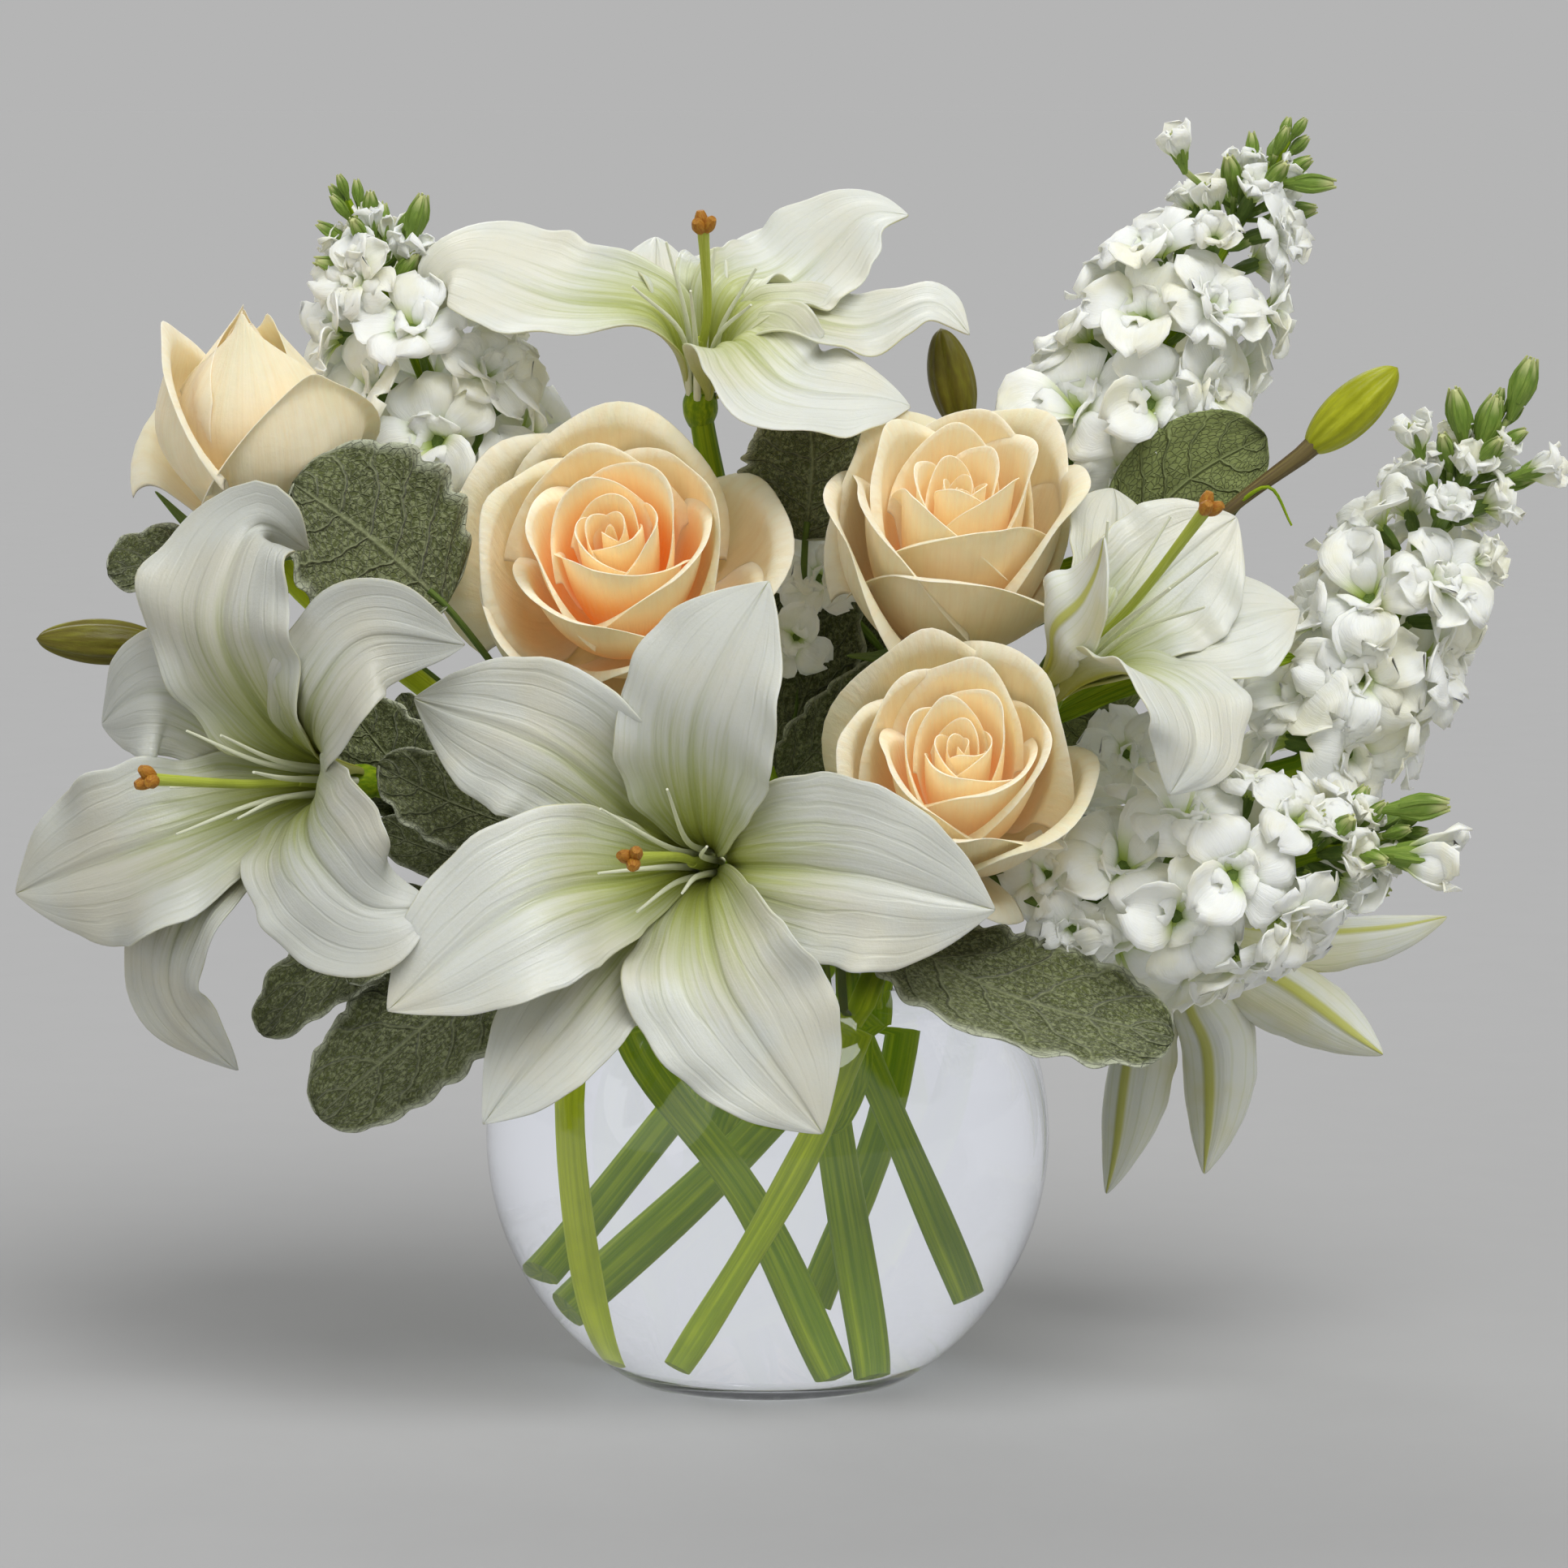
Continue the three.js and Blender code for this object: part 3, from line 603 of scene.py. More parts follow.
class Sketch:
    """Short ways to place and join the nodes of one material, group or world."""

    def __init__(self, tree):
        self.tree = tree

    def put(self, socket, value):
        """Links a field to a socket, or sets the socket's own value."""
        if isinstance(value, Field):
            self.tree.links.new(value.socket, socket)
        elif socket.type == "RGBA":
            socket.default_value = (*value[:3], 1)
        else:
            socket.default_value = value

    def node(self, kind, values=(), **attributes):
        """Places a node and gives its first output."""
        node = self.tree.nodes.new(kind)
        for name, value in attributes.items():
            setattr(node, name, value)
        for key, value in dict(values).items():
            self.put(node.inputs[key], value)
        return Field(self, node.outputs[0])

    def group(self, name, build, values):
        return self.node("ShaderNodeGroup", values, node_tree=shared(name, build))

    def math(self, operation, a, b=0.0, clamp=False):
        return self.node("ShaderNodeMath", {0: a, 1: b}, operation=operation, use_clamp=clamp)

    def blend(self, amount, under, over, mode="MIX"):
        values = {0: amount, 6: under, 7: over}
        return self.node("ShaderNodeMix", values, data_type="RGBA", blend_type=mode)[2]

    def coats(self, colour, *coats):
        """Lays colours over each other, each where its field is near 1."""
        for amount, over in coats:
            colour = self.blend(amount, colour, over)
        return colour

    def either(self, chance, one, other):
        """One shader where chance is 0, and the other where it is 1."""
        return self.node("ShaderNodeMixShader", {0: chance, 1: one, 2: other})

    def noise(self, vector, scale, detail, roughness=0.55):
        values = {"Vector": vector, "Scale": scale, "Detail": detail, "Roughness": roughness}
        return self.node("ShaderNodeTexNoise", values)["Fac"]

    def split(self, vector):
        return self.node("ShaderNodeSeparateXYZ", {"Vector": vector})

    def flat(self, x, y):
        return self.node("ShaderNodeCombineXYZ", {"X": x, "Y": y})

    def attribute(self, name):
        return self.node("ShaderNodeAttribute", attribute_name=name)["Fac"]

    def bump(self, height, strength, distance):
        values = {"Height": height, "Strength": strength, "Distance": distance}
        return self.node("ShaderNodeBump", values)


class Paint(Sketch):
    """A sketch of a Principled material, with what its patterns start from."""

    def __init__(self, name, **constants):
        self.material = bpy.data.materials.new(name)
        self.material.use_nodes = True
        super().__init__(self.material.node_tree)
        self.shader = self.tree.nodes["Principled BSDF"]
        self.join(**constants)

    @cached_property
    def uv(self):
        return self.node("ShaderNodeUVMap", uv_map="UVMap")

    @cached_property
    def position(self):
        return self.node("ShaderNodeTexCoord")["Object"]

    @cached_property
    def place(self):
        return self.split(self.uv)

    @cached_property
    def along(self):
        return self.place["Y"]

    @cached_property
    def off_rib(self):
        return abs(self.place["X"] - 0.5)

    def join(self, **sockets):
        """Sets or links sockets of the shader, written with _ for each space."""
        for socket, value in sockets.items():
            self.put(self.shader.inputs[socket.replace("_", " ")], value)
        return self.material

    def finish(self, colour, height, strength, distance, grain, rough, **more):
        """Joins a colour, a bump and a roughness that runs from low to high with the grain."""
        return self.join(Base_Color=colour, Normal=self.bump(height, strength, distance),
                         Roughness=grain.range(0.3, 0.7, *rough), **more)

    def with_painted_shade(self, colour):
        """The colour times the attribute tone: painted shade that darkens a bloom standing in less
        light.
        """
        return self.blend(1.0, colour, self.attribute("tone"), "MULTIPLY")

    def join_either(self, chance, other):
        """Shows the other shader in place of the main one where chance is 1."""
        main = Field(self, self.shader.outputs[0])
        self.put(self.tree.nodes["Material Output"].inputs["Surface"],
                 self.either(chance, main, other))
        return self.material

    def petal_veins(self, lines, wander=0.5):
        return self.group("Petal veins", petal_vein_group,
                          {"UV": self.uv, "Lines": lines, "Wander": wander})

    def mottle(self, blotch_size):
        return self.group("Mottle", mottle_group,
                          {"Position": self.position, "Blotch size": blotch_size})


_made = {}


def shared(name, build):
    """Builds a group or a material the first time it is asked for."""
    if name not in _made:
        _made[name] = build()
    return _made[name]


def group_with(name, inputs, outputs):
    """A node group's tree, a sketch to fill it with, its inputs and its output sockets.

    An input is a number with this default, or a vector where that is None.
    """
    tree = bpy.data.node_groups.new(name, "ShaderNodeTree")
    for socket, default in inputs.items():
        kind = "NodeSocketVector" if default is None else "NodeSocketFloat"
        item = tree.interface.new_socket(name=socket, in_out="INPUT", socket_type=kind)
        if default is not None:
            item.default_value = default
    for socket in outputs:
        tree.interface.new_socket(name=socket, in_out="OUTPUT", socket_type="NodeSocketFloat")
    sketch = Sketch(tree)
    return tree, sketch, sketch.node("NodeGroupInput"), tree.nodes.new("NodeGroupOutput").inputs


def petal_vein_group():
    """Fine lines that run the length of a petal and draw together at its ends."""
    tree, sketch, given, result = group_with(
        "Petal veins", {"UV": None, "Lines": 12.0, "Wander": 0.5}, ("Lines", "Streaks", "Rib"))
    place = sketch.split(given["UV"])
    across, along = place["X"], place["Y"]
    drift = (sketch.noise(sketch.flat(across * 3.0, along * 1.2), 2.0, 2.0) - 0.5) * given["Wander"]
    phase = across * given["Lines"] + drift
    sketch.put(result["Lines"], sketch.math("SINE", phase * TAU).range(0.62, 1.0))
    sketch.put(result["Streaks"],
               sketch.noise(sketch.flat(across * 22.0, along * 1.6), 1.6, 4.0, 0.6))
    sketch.put(result["Rib"], abs(across - 0.5).range(0.0, 0.055, 1.0, 0.0))
    return tree


def leaf_vein_group():
    """A midrib with side veins that leave it at a slant, and a fine net between them."""
    tree, sketch, given, result = group_with(
        "Leaf veins", {"UV": None, "Pairs": 6.0, "Slant": 0.55}, ("Veins", "Edge"))
    place = sketch.split(given["UV"])
    off_rib = abs(place["X"] - 0.5)
    drift = sketch.noise(given["UV"], 5.0, 2.0) * 0.12
    slanted = (place["Y"] - off_rib * given["Slant"] + drift) * given["Pairs"]
    side = abs(sketch.math("FRACT", slanted) - 0.5).range(0.0, 0.09, 1.0, 0.0)
    side = side * off_rib.range(0.32, 0.5, 1.0, 0.25)
    veins = sketch.math("MAXIMUM", off_rib.range(0.0, 0.03, 1.0, 0.0), side)
    cells = sketch.node("ShaderNodeTexVoronoi", {"Vector": given["UV"], "Scale": 26.0},
                        feature="DISTANCE_TO_EDGE")["Distance"]
    net = cells.range(0.0, 0.1, 1.0, 0.0) * 0.35
    sketch.put(result["Veins"], sketch.math("MAXIMUM", veins, net))
    sketch.put(result["Edge"], off_rib.range(0.41, 0.5))
    return tree


def mottle_group():
    """Soft blotches and a fine grain, from the place on the object."""
    tree, sketch, given, result = group_with(
        "Mottle", {"Position": None, "Blotch size": 60.0, "Grain size": 900.0},
        ("Blotch", "Grain"))
    sketch.put(result["Blotch"], sketch.noise(given["Position"], given["Blotch size"], 3.0))
    sketch.put(result["Grain"], sketch.noise(given["Position"], given["Grain size"], 2.0, 0.7))
    return tree


def soft_tissue(weight, scale=0.002, radius=(1.0, 0.9, 0.6)):
    return {"Subsurface_Weight": weight, "Subsurface_Scale": scale, "Subsurface_Radius": radius}


def darker(colour, share):
    return tuple(share * channel for channel in colour)


def lily_face_material():
    """White with lengthwise folds, green in the throat and along the rib. Grey streaks are faint
    veins and painted shade of the folds, and tone darkens the whole as painted shade.
    """
    paint, choice = Paint("Lily face", **soft_tissue(0.3)), settings()
    veins, mottle = paint.petal_veins(9.0, 1.6), paint.mottle(30.0)
    along, off_rib = paint.along, paint.off_rib
    fade = along.range(0.72, 0.98, 1.0, 0.15)
    depth = along + off_rib * 0.4 - veins["Streaks"] * 0.42
    colour = paint.coats(
        choice.lily_white,
        (mottle["Blotch"].range(0.42, 0.66), (0.70, 0.69, 0.58)),
        # Grey streaks: faint veins, and painted shade of the fine lengthwise folds.
        (veins["Streaks"].range(0.45, 0.75, 0.0, 0.28) * fade, (0.52, 0.53, 0.40)),
        (veins["Lines"] * along.range(0.05, 0.7, 0.42, 0.03), (0.33, 0.38, 0.18)),
        (depth.range(-0.02, 0.52, 1.0, 0.0), choice.lily_throat),
        ((along - off_rib).range(0.93, 0.99, 0.0, 0.8), (0.52, 0.54, 0.14)),
        (veins["Rib"] * along.range(0.2, 0.8, 0.7, 0.06), (0.36, 0.41, 0.13)))
    height = (veins["Lines"] * -0.22 + veins["Streaks"] * 0.45) * fade
    height = height + mottle["Grain"] * 0.2 - veins["Rib"] * 0.6
    return paint.finish(paint.with_painted_shade(colour), height, 0.6, 0.0008, mottle["Grain"], (0.34, 0.48))


def lily_back_material():
    """Paler veins than on the face, and a green stripe along the keel. Tone darkens it as painted
    shade.
    """
    paint = Paint("Lily back", Specular_IOR_Level=0.35, **soft_tissue(0.3))
    veins, mottle = paint.petal_veins(9.0), paint.mottle(45.0)
    stripe = paint.off_rib.range(0.025, 0.075, 1.0, 0.0)
    colour = paint.coats(
        settings().lily_white,
        (mottle["Blotch"].range(0.35, 0.7), (0.64, 0.63, 0.42)),
        (veins["Lines"] * 0.25, (0.50, 0.54, 0.28)),
        (paint.along.range(0.08, 0.52, 0.9, 0.0), (0.42, 0.44, 0.09)),
        (stripe * 0.85, (0.45, 0.46, 0.05)))
    height = veins["Streaks"] * 0.8 + stripe * 1.2
    return paint.finish(paint.with_painted_shade(colour), height, 0.5, 0.0006, mottle["Grain"], (0.38, 0.52))


def rose_material():
    """Cream petals, apricot towards their foot and in the heart, deeper orange in the clefts of the
    heart as partly painted shade, and a painted glow for light through the petals.

    The attribute heart is 1 in the middle of the bloom, blush is how warm the rose is.
    """
    paint = Paint("Rose petal", Specular_IOR_Level=0.22, Emission_Strength=0.14,
                  **soft_tissue(0.35, 0.0015, (1.0, 0.75, 0.45)))
    choice, along = settings(), paint.along
    heart, blush = paint.attribute("heart"), paint.attribute("blush")
    veins, mottle = paint.petal_veins(14.0, 1.5), paint.mottle(45.0)
    warm = along.range(0.3, 0.8, 1.0, 0.0) * heart.range(0.0, 0.9, 0.3, 1.0, "LINEAR")
    warm = paint.math("ADD", warm, heart * 0.25, clamp=True)
    # deep: deeper orange at the foot of the heart's petals, partly their own colour and partly
    # painted shade in the clefts between them.
    deep = along.range(0.3, 0.72, 1.0, 0.0) * heart.range(0.05, 0.5, 0.16, 1.0)
    edge = paint.math("MAXIMUM", along.range(0.7, 1.0), paint.off_rib.range(0.36, 0.5))
    blotch = mottle["Blotch"].range(0.42, 0.68, 0.0, 0.55) * (1.0 - heart)
    colour = paint.coats(
        choice.rose_outer,
        (warm * blush, choice.rose_heart),
        (deep * blush, (0.95, 0.40, 0.07)),
        (edge * 0.5, (0.90, 0.84, 0.68)),
        (blotch, (0.74, 0.70, 0.46)),
        (veins["Streaks"].range(0.4, 0.7, 0.0, 0.3), (0.84, 0.62, 0.34)))
    height = veins["Streaks"] * 1.1 + mottle["Grain"] * 0.3 + mottle["Blotch"] * 2.5
    # Painted light: emission that stands in for light passing through the petals, strongest in the
    # heart.
    painted_glow = paint.blend(heart.range(0.0, 0.6, 0.14, 1.0), BLACK, colour)
    return paint.finish(colour, height, 0.5, 0.0007, mottle["Grain"], (0.5, 0.65),
                        Emission_Color=painted_glow)


def stock_material():
    """White florets, green at the foot of each petal, partly painted shade deep in the floret, with
    a faint painted glow for light through the petals.
    """
    # The petals glow faintly: painted light for light that passes through them.
    paint = Paint("Stock petal", Specular_IOR_Level=0.3, Emission_Strength=0.06,
                  **soft_tissue(0.4))
    veins, mottle = paint.petal_veins(5.0), paint.mottle(70.0)
    colour = paint.coats(
        settings().stock_white,
        (mottle["Blotch"].range(0.42, 0.7), (0.86, 0.84, 0.68)),
        # Green at the foot of the petals: their own colour, and partly painted shade deep in the
        # floret.
        (paint.along.range(0.08, 0.55, 1.0, 0.0), (0.36, 0.48, 0.06)),
        (veins["Streaks"] * 0.2, (0.62, 0.66, 0.42)))
    height = veins["Streaks"] + mottle["Blotch"] * 0.8
    return paint.finish(colour, height, 0.5, 0.0006, mottle["Grain"], (0.4, 0.55),
                        Emission_Color=colour)


def leaf_material(name, colour, vein_colour, edge_colour, felt):
    """A veined leaf under a grey felt of hairs, from none at 0 to thick at 1."""
    paint = Paint(name, Sheen_Weight=0.12 * felt, Sheen_Roughness=0.6,
                  Roughness=0.5 + 0.35 * felt, Specular_IOR_Level=0.3)
    veins = paint.group("Leaf veins", leaf_vein_group, {"UV": paint.uv})
    mottle = paint.mottle(80.0)
    body = paint.coats(
        colour,
        (mottle["Blotch"].range(0.3, 0.7), darker(colour, 0.62)),
        (mottle["Grain"].range(0.42, 0.64, 0.0, 0.75 * felt), vein_colour),
        (veins["Veins"] * 0.55, vein_colour),
        (veins["Edge"] * 0.85, edge_colour))
    height = veins["Veins"] + mottle["Grain"] * (0.5 * felt) + mottle["Blotch"] * 0.8
    return paint.join(Base_Color=body, Normal=paint.bump(height, 1.0, 0.0011))


def green_material(name, colour, light, rough=0.42, tip=None, spots=0.6, gloss=0.25,
                   in_bowl=False):
    """Smooth living green with long streaks, for stems, buds and calyces.

    A green that is in_bowl glows a little below the water: painted light for the light that the
    bowl gathers onto it.
    """
    paint = Paint(name, Roughness=rough, Specular_IOR_Level=gloss,
                  Emission_Strength=0.2 * in_bowl, **soft_tissue(0.12))
    streaks = paint.noise(paint.flat(paint.place["X"] * 9.0, paint.along * 1.6), 2.4, 4.0, 0.6)
    mottle = paint.mottle(55.0)
    paler = paint.math("ADD", streaks.range(0.32, 0.95), paint.attribute("ripe"), clamp=True)
    body = painted_glow = paint.coats(
        colour, (paler, light),
        (mottle["Blotch"].range(0.45, 0.8, 0.0, spots), darker(colour, 0.55)))
    if in_bowl:
        # Painted light below the water line, in place of light that the bowl focuses onto the
        # stems.
        level = paint.split(paint.position)["Z"]
        in_water = level.range(WATER_LEVEL * MM, (WATER_LEVEL + 8) * MM, 1.0, 0.0)
        painted_glow = paint.blend(in_water, BLACK, body)
    if tip:
        body = paint.blend(paint.along.range(0.62, 0.95, 0.0, 0.9), body, tip)
    return paint.join(Base_Color=body, Emission_Color=painted_glow,
                      Normal=paint.bump(streaks + mottle["Grain"] * 0.3, 0.5, 0.0005))


def clear_material(name, colour, ior, mirror):
    """Clear body that lets lamp light straight through to what stands in it."""
    paint = Paint(name, Base_Color=colour, Roughness=0.0, IOR=ior, Specular_IOR_Level=mirror,
                  Transmission_Weight=1.0)
    return paint.join_either(paint.node("ShaderNodeLightPath")["Is Shadow Ray"],
                             paint.node("ShaderNodeBsdfTransparent", {"Color": colour}))


FINISHES = {
    "lily face": lily_face_material,
    "lily back": lily_back_material,
    "rose": rose_material,
    "stock": stock_material,
    "felt leaf": lambda: leaf_material(
        "Felted leaf", settings().leaf_felt, (0.28, 0.31, 0.16), (0.52, 0.55, 0.41), 1.0),
    "round leaf": lambda: leaf_material(
        "Round leaf", (0.20, 0.24, 0.07), (0.26, 0.31, 0.12), (0.24, 0.29, 0.10), 0.35),
    "stem": lambda: green_material(
        "Stem", settings().stem_green, (0.52, 0.62, 0.025), spots=0.35, gloss=0.1, in_bowl=True),
    "brown stalk": lambda: green_material("Brown stalk", (0.11, 0.075, 0.03), (0.24, 0.20, 0.06)),
    "style": lambda: green_material("Style", (0.40, 0.47, 0.05), (0.60, 0.64, 0.16)),
    "filament": lambda: green_material(
        "Filament", (0.78, 0.80, 0.58), (0.88, 0.89, 0.78), spots=0.2),
    "stigma": lambda: green_material("Stigma", (0.36, 0.13, 0.015), (0.60, 0.37, 0.04), 0.5),
    "calyx": lambda: green_material("Calyx", (0.10, 0.17, 0.03), (0.24, 0.32, 0.07), 0.6),
    "young bud": lambda: green_material(
        "Young bud", (0.14, 0.24, 0.03), (0.34, 0.44, 0.09), 0.5, tip=(0.62, 0.64, 0.30)),
    "dark bud": lambda: green_material(
        "Dark lily bud", (0.12, 0.10, 0.01), (0.22, 0.22, 0.015), 0.4, spots=0.3),
    "bud": lambda: green_material(
        "Lily bud", (0.30, 0.32, 0.006), (0.50, 0.53, 0.02), 0.4, spots=0.15),
    "glass": lambda: clear_material("Clear glass", (0.985, 0.99, 0.995), 1.5, 0.35),
    "water": lambda: clear_material("Water", (0.985, 0.99, 1.0), 1.333, 0.05),
}


def dress(piece, *finishes):
    piece.data.materials.clear()
    for finish in finishes:
        piece.data.materials.append(shared(finish, FINISHES[finish]))
    return piece


# ------------------------------------------------------------------ lilies

def lily_half_width(width, u):
    """Broadest just past the middle, then drawn to a point."""
    place = np.clip(u, 0, 1) ** 1.3
    swell = np.clip(np.sin(math.pi * place), 0, 1)
    late = np.clip(2 * place - 1, 0, 1)
    return (width / 2) * np.where(place < 0.5, swell**0.8, swell ** (0.56 + 0.30 * late**1.4))


def tepal_surface(lily, tepal, inner, rng):
    """The face of one tepal as a function of s across and u along."""
    points, width, ruffle, roll = tepal
    axis = unit(lily["axis"])
    receptacle = np.array(lily["receptacle"], float)
    outward = np.array(points[0], float) - receptacle
    outward = unit(outward - axis * np.dot(outward, axis))
    spacing = 0.0 if inner else 2.4
    throat = [
        receptacle + axis * (5 - spacing / 2) + outward * (3.6 + spacing / 2),
        receptacle + axis * LILY_TUBE * 0.5 + outward * (6 + spacing),
        receptacle + axis * LILY_TUBE * 0.9 + outward * (13 + spacing * 1.4),
    ]
    route = Route([*throat, *points])
    waves = [rng.uniform(1.6, 2.6) for _ in range(2)]
    starts = [rng.uniform(0, TAU) for _ in range(4)]
    folds = [rng.uniform(1.0, 1.5), rng.uniform(2.0, 2.7)]
    twist = math.radians(rng.uniform(-16, 16))
    tip_bend = rng.uniform(1.5, 4.5)

    def surface(s, u):
        place, tangent = route.at(u), route.along(u)
        upright = 0.8 * np.clip(tangent @ axis, 0, 1) ** 2
        facing = axis - outward * upright[:, None]
        normal = unit(facing - tangent * np.sum(tangent * facing, 1)[:, None])
        turn = math.radians(roll) + twist * np.clip(u - 0.35, 0, 1)
        normal = turned_about(normal, tangent, turn)
        side = np.cross(tangent, normal)
        half = np.maximum(lily_half_width(width, u), 1.6 * (1 - u) + 0.05)
        # An outline that is a little uneven and nibbled.
        uneven = np.sin(TAU * 1.3 * u + starts[0] + 1.4 * np.sign(s))
        nibble = np.sin(TAU * 8.3 * u + starts[2] + 3 * s) + 0.6 * np.sin(
            TAU * 14.7 * u + starts[3] - 2 * s)
        half = half * (1 + (0.02 * nibble + 0.07 * uneven) * np.abs(s) * np.clip(3 * u, 0, 1))
        # Rolled into a tube in the throat, and cupped further on.
        bend = 1.25 * (1 - u) ** 2 + lily.get("cup", TEPAL_CUP)
        across = half * np.sin(bend * s) / bend
        lift = half * (1 - np.cos(bend * s)) / bend
        # Ruffled edges.
        edge = np.abs(s) ** 2.4
        wave = np.where(s < 0, np.sin(TAU * waves[0] * u + starts[0]),
                        np.sin(TAU * waves[1] * u + starts[1]))
        frill = np.sin(TAU * 5.3 * u + starts[2] + 2 * s)
        swell = np.sin(math.pi * np.clip(u, 0, 1)) ** 0.5
        lift = lift + half * edge * swell * (ruffle * wave + (0.03 + 0.5 * ruffle) * frill)
        lift = lift - 0.2 * half * edge * np.clip(u - 0.45, 0, 1)
        # Folds that run its length, a groove along the rib, and a tip that bends back.
        spread = s * (1.1 - 0.35 * u)
        fold = np.sin(TAU * folds[0] * spread + starts[0])
        fold = fold + 0.5 * np.sin(TAU * folds[1] * spread + starts[1] + 1.2 * u)
        ridge = np.sin(TAU * 4.2 * spread + 1.1 * np.sin(4 * u + starts[2]))
        inside = np.clip(1.25 - np.abs(s), 0, 1) * np.clip(5 * u, 0, 1)
        lift = lift + inside * swell * (0.55 * fold + 0.05 * ridge * np.clip(1.2 - u, 0, 1))
        groove = np.exp(-((s / 0.07) ** 2)) - 0.55 * np.exp(-(((np.abs(s) - 0.2) / 0.1) ** 2))
        lift = lift - groove * np.clip(1.15 - u, 0, 1) * np.clip(4 * u, 0, 1)
        lift = lift - tip_bend * np.clip((u - 0.8) / 0.2, 0, 1) ** 2
        return place + side * across[:, None] + normal * lift[:, None]

    return surface


def build_tepal(name, lily, tepal, inner):
    piece = sheet(name, 20, 30, tepal_surface(lily, tepal, inner, random.Random(name)))
    dress(piece, "lily face", "lily back")
    thicken(piece, settings().tepal_thickness, back=1)
    # tone is painted shade: it darkens every tepal of a lily that stands in less light.
    mark(piece, "tone", lily.get("tone", 1.0))
    return piece


def build_lily_heart(name, lily):
    """Stem, receptacle, style with its three-lobed stigma, and six filaments."""
    rng = random.Random(name)
    axis, receptacle = unit(lily["axis"]), np.array(lily["receptacle"], float)
    side, other = two_across(axis, [0.2, 0.3, 0.93])
    length, sway = lily["pistil"], any_phase(rng)

    def reach(height, out=0.0, angle=0.0):
        radial = side * math.cos(angle) + other * math.sin(angle)
        return receptacle + axis * height + radial * out

    parts = [
        tube(name, "stem", [*lily["stem"], reach(3)],
             lambda u: LILY_STEM_RADIUS + 0.25 * math.sin(19 * u) - 9 * max(0, u - 0.9), 14, 48),
        tube("receptacle", "stem", [reach(-5), reach(0), reach(7)],
             lambda u: 3.2 + 1.6 * math.sin(math.pi * u), 14, 10),
        tube("ovary", "style", [reach(5), reach(16), reach(24)], lambda u: 2.4 - u, 12, 8),
        tube("style", "style", [reach(20), reach(length * 0.5, 1.5, sway), reach(length - 2)],
             lambda u: 1.15 + 0.55 * u**3, 12, 20)]
    for lobe in range(3):
        angle = sway + lobe * TAU / 3
        route = [reach(length - 4, 0.6, angle), reach(length - 1, 2.0, angle),
                 reach(length + 0.4, 2.7, angle)]
        parts.append(tube("lobe", "stigma", route, lambda u: 0.6 + 1.25 * math.sin(
            math.pi * (0.15 + 0.75 * u)), 10, 8))
    for index in range(6):
        angle = sway + 0.5 + index * math.pi / 3
        tip = reach(length * rng.uniform(0.66, 0.8), rng.uniform(11, 19), angle)
        route = [reach(6, 3.0, angle), reach(length * 0.42, 5.5, angle), tip]
        parts.append(tube("filament", "filament", route, lambda u: 1.1 - 0.75 * u, 8, 14))
    return joined(name, parts)


def with_stem_leaves(piece, name):
    """Adds the small leaves that were left on this stem."""
    leaves = [build_blade(f"{name}_leaf_{number}", points, width, (0.1, -0.9, 0.4), "stem")
              for number, (points, width) in enumerate(STEM_LEAVES.get(name, []))]
    return joined(piece.name, [piece, *leaves])


class BOUQUET_OT_lilies(bpy.types.Operator):
    """Builds the five lilies: stems, styles, filaments and thirty tepals"""
    bl_idname = "bouquet.lilies"
    bl_label = "Lilies"

    def execute(self, context):
        for name, lily in LILIES.items():
            heart = with_stem_leaves(build_lily_heart(f"{name}_heart", lily), name)
            finish_piece(heart, f"{name}_stem")
            for number, tepal in enumerate(lily["tepals"], 1):
                piece = build_tepal(f"{name}_petal_{number}", lily, tepal, number % 2 == 1)
                finish_piece(piece, f"{name}_tepal_{number}")
        return {"FINISHED"}


# ------------------------------------------------------------------ buds

def build_bud(name, bud):
    """A closed bud with three seams between its tepals, on its stalk."""
    rng = random.Random(name)
    foot, tip = np.array(bud["stalk"][-1], float), np.array(bud["tip"], float)
    axis = unit(tip - foot)
    length = np.linalg.norm(tip - foot)
    shift = any_phase(rng)
    side, other = two_across(axis, [0.1, 0.2, 0.97])

    def surface(s, u):
        angle = math.pi * s + shift
        swell = np.sin(math.pi * np.clip(u, 0, 1) ** 0.95) ** 0.55
        seams = 1 - 0.17 * np.abs(np.cos(1.5 * angle)) ** 12 + 0.04 * np.cos(3 * angle)
        seams = seams - 0.05 * np.abs(np.cos(4.5 * angle)) ** 4
        radius = bud["radius"] * swell * seams
        ring = side * np.cos(angle)[:, None] + other * np.sin(angle)[:, None]
        return foot + axis * (u * length)[:, None] + ring * radius[:, None]

    piece = sheet(name, 54, 20, surface)
    close_seams(piece)
    apply_modifier(piece, "SUBSURF", levels=1, render_levels=1)
    bpy.ops.object.shade_smooth()
    dress(piece, bud["finish"])
    parts = [piece, tube("stalk", bud["stalk_finish"], [*bud["stalk"], foot + axis * 3],
                         lambda u: 1.5 + 1.3 * u**6, 10, 24)]
    if "tendril" in bud:
        parts.append(tube("tendril", "stem", bud["tendril"], lambda u: 0.7 - 0.4 * u, 7, 14))
    return joined(name, parts)


class BOUQUET_OT_buds(bpy.types.Operator):
    """Builds the three closed lily buds on their stalks"""
    bl_idname = "bouquet.buds"
    bl_label = "Lily buds"

    def execute(self, context):
        for name, bud in LILY_BUDS.items():
            finish_piece(build_bud(f"{name}_closed", bud), name)
        return {"FINISHED"}


# ------------------------------------------------------------------ roses

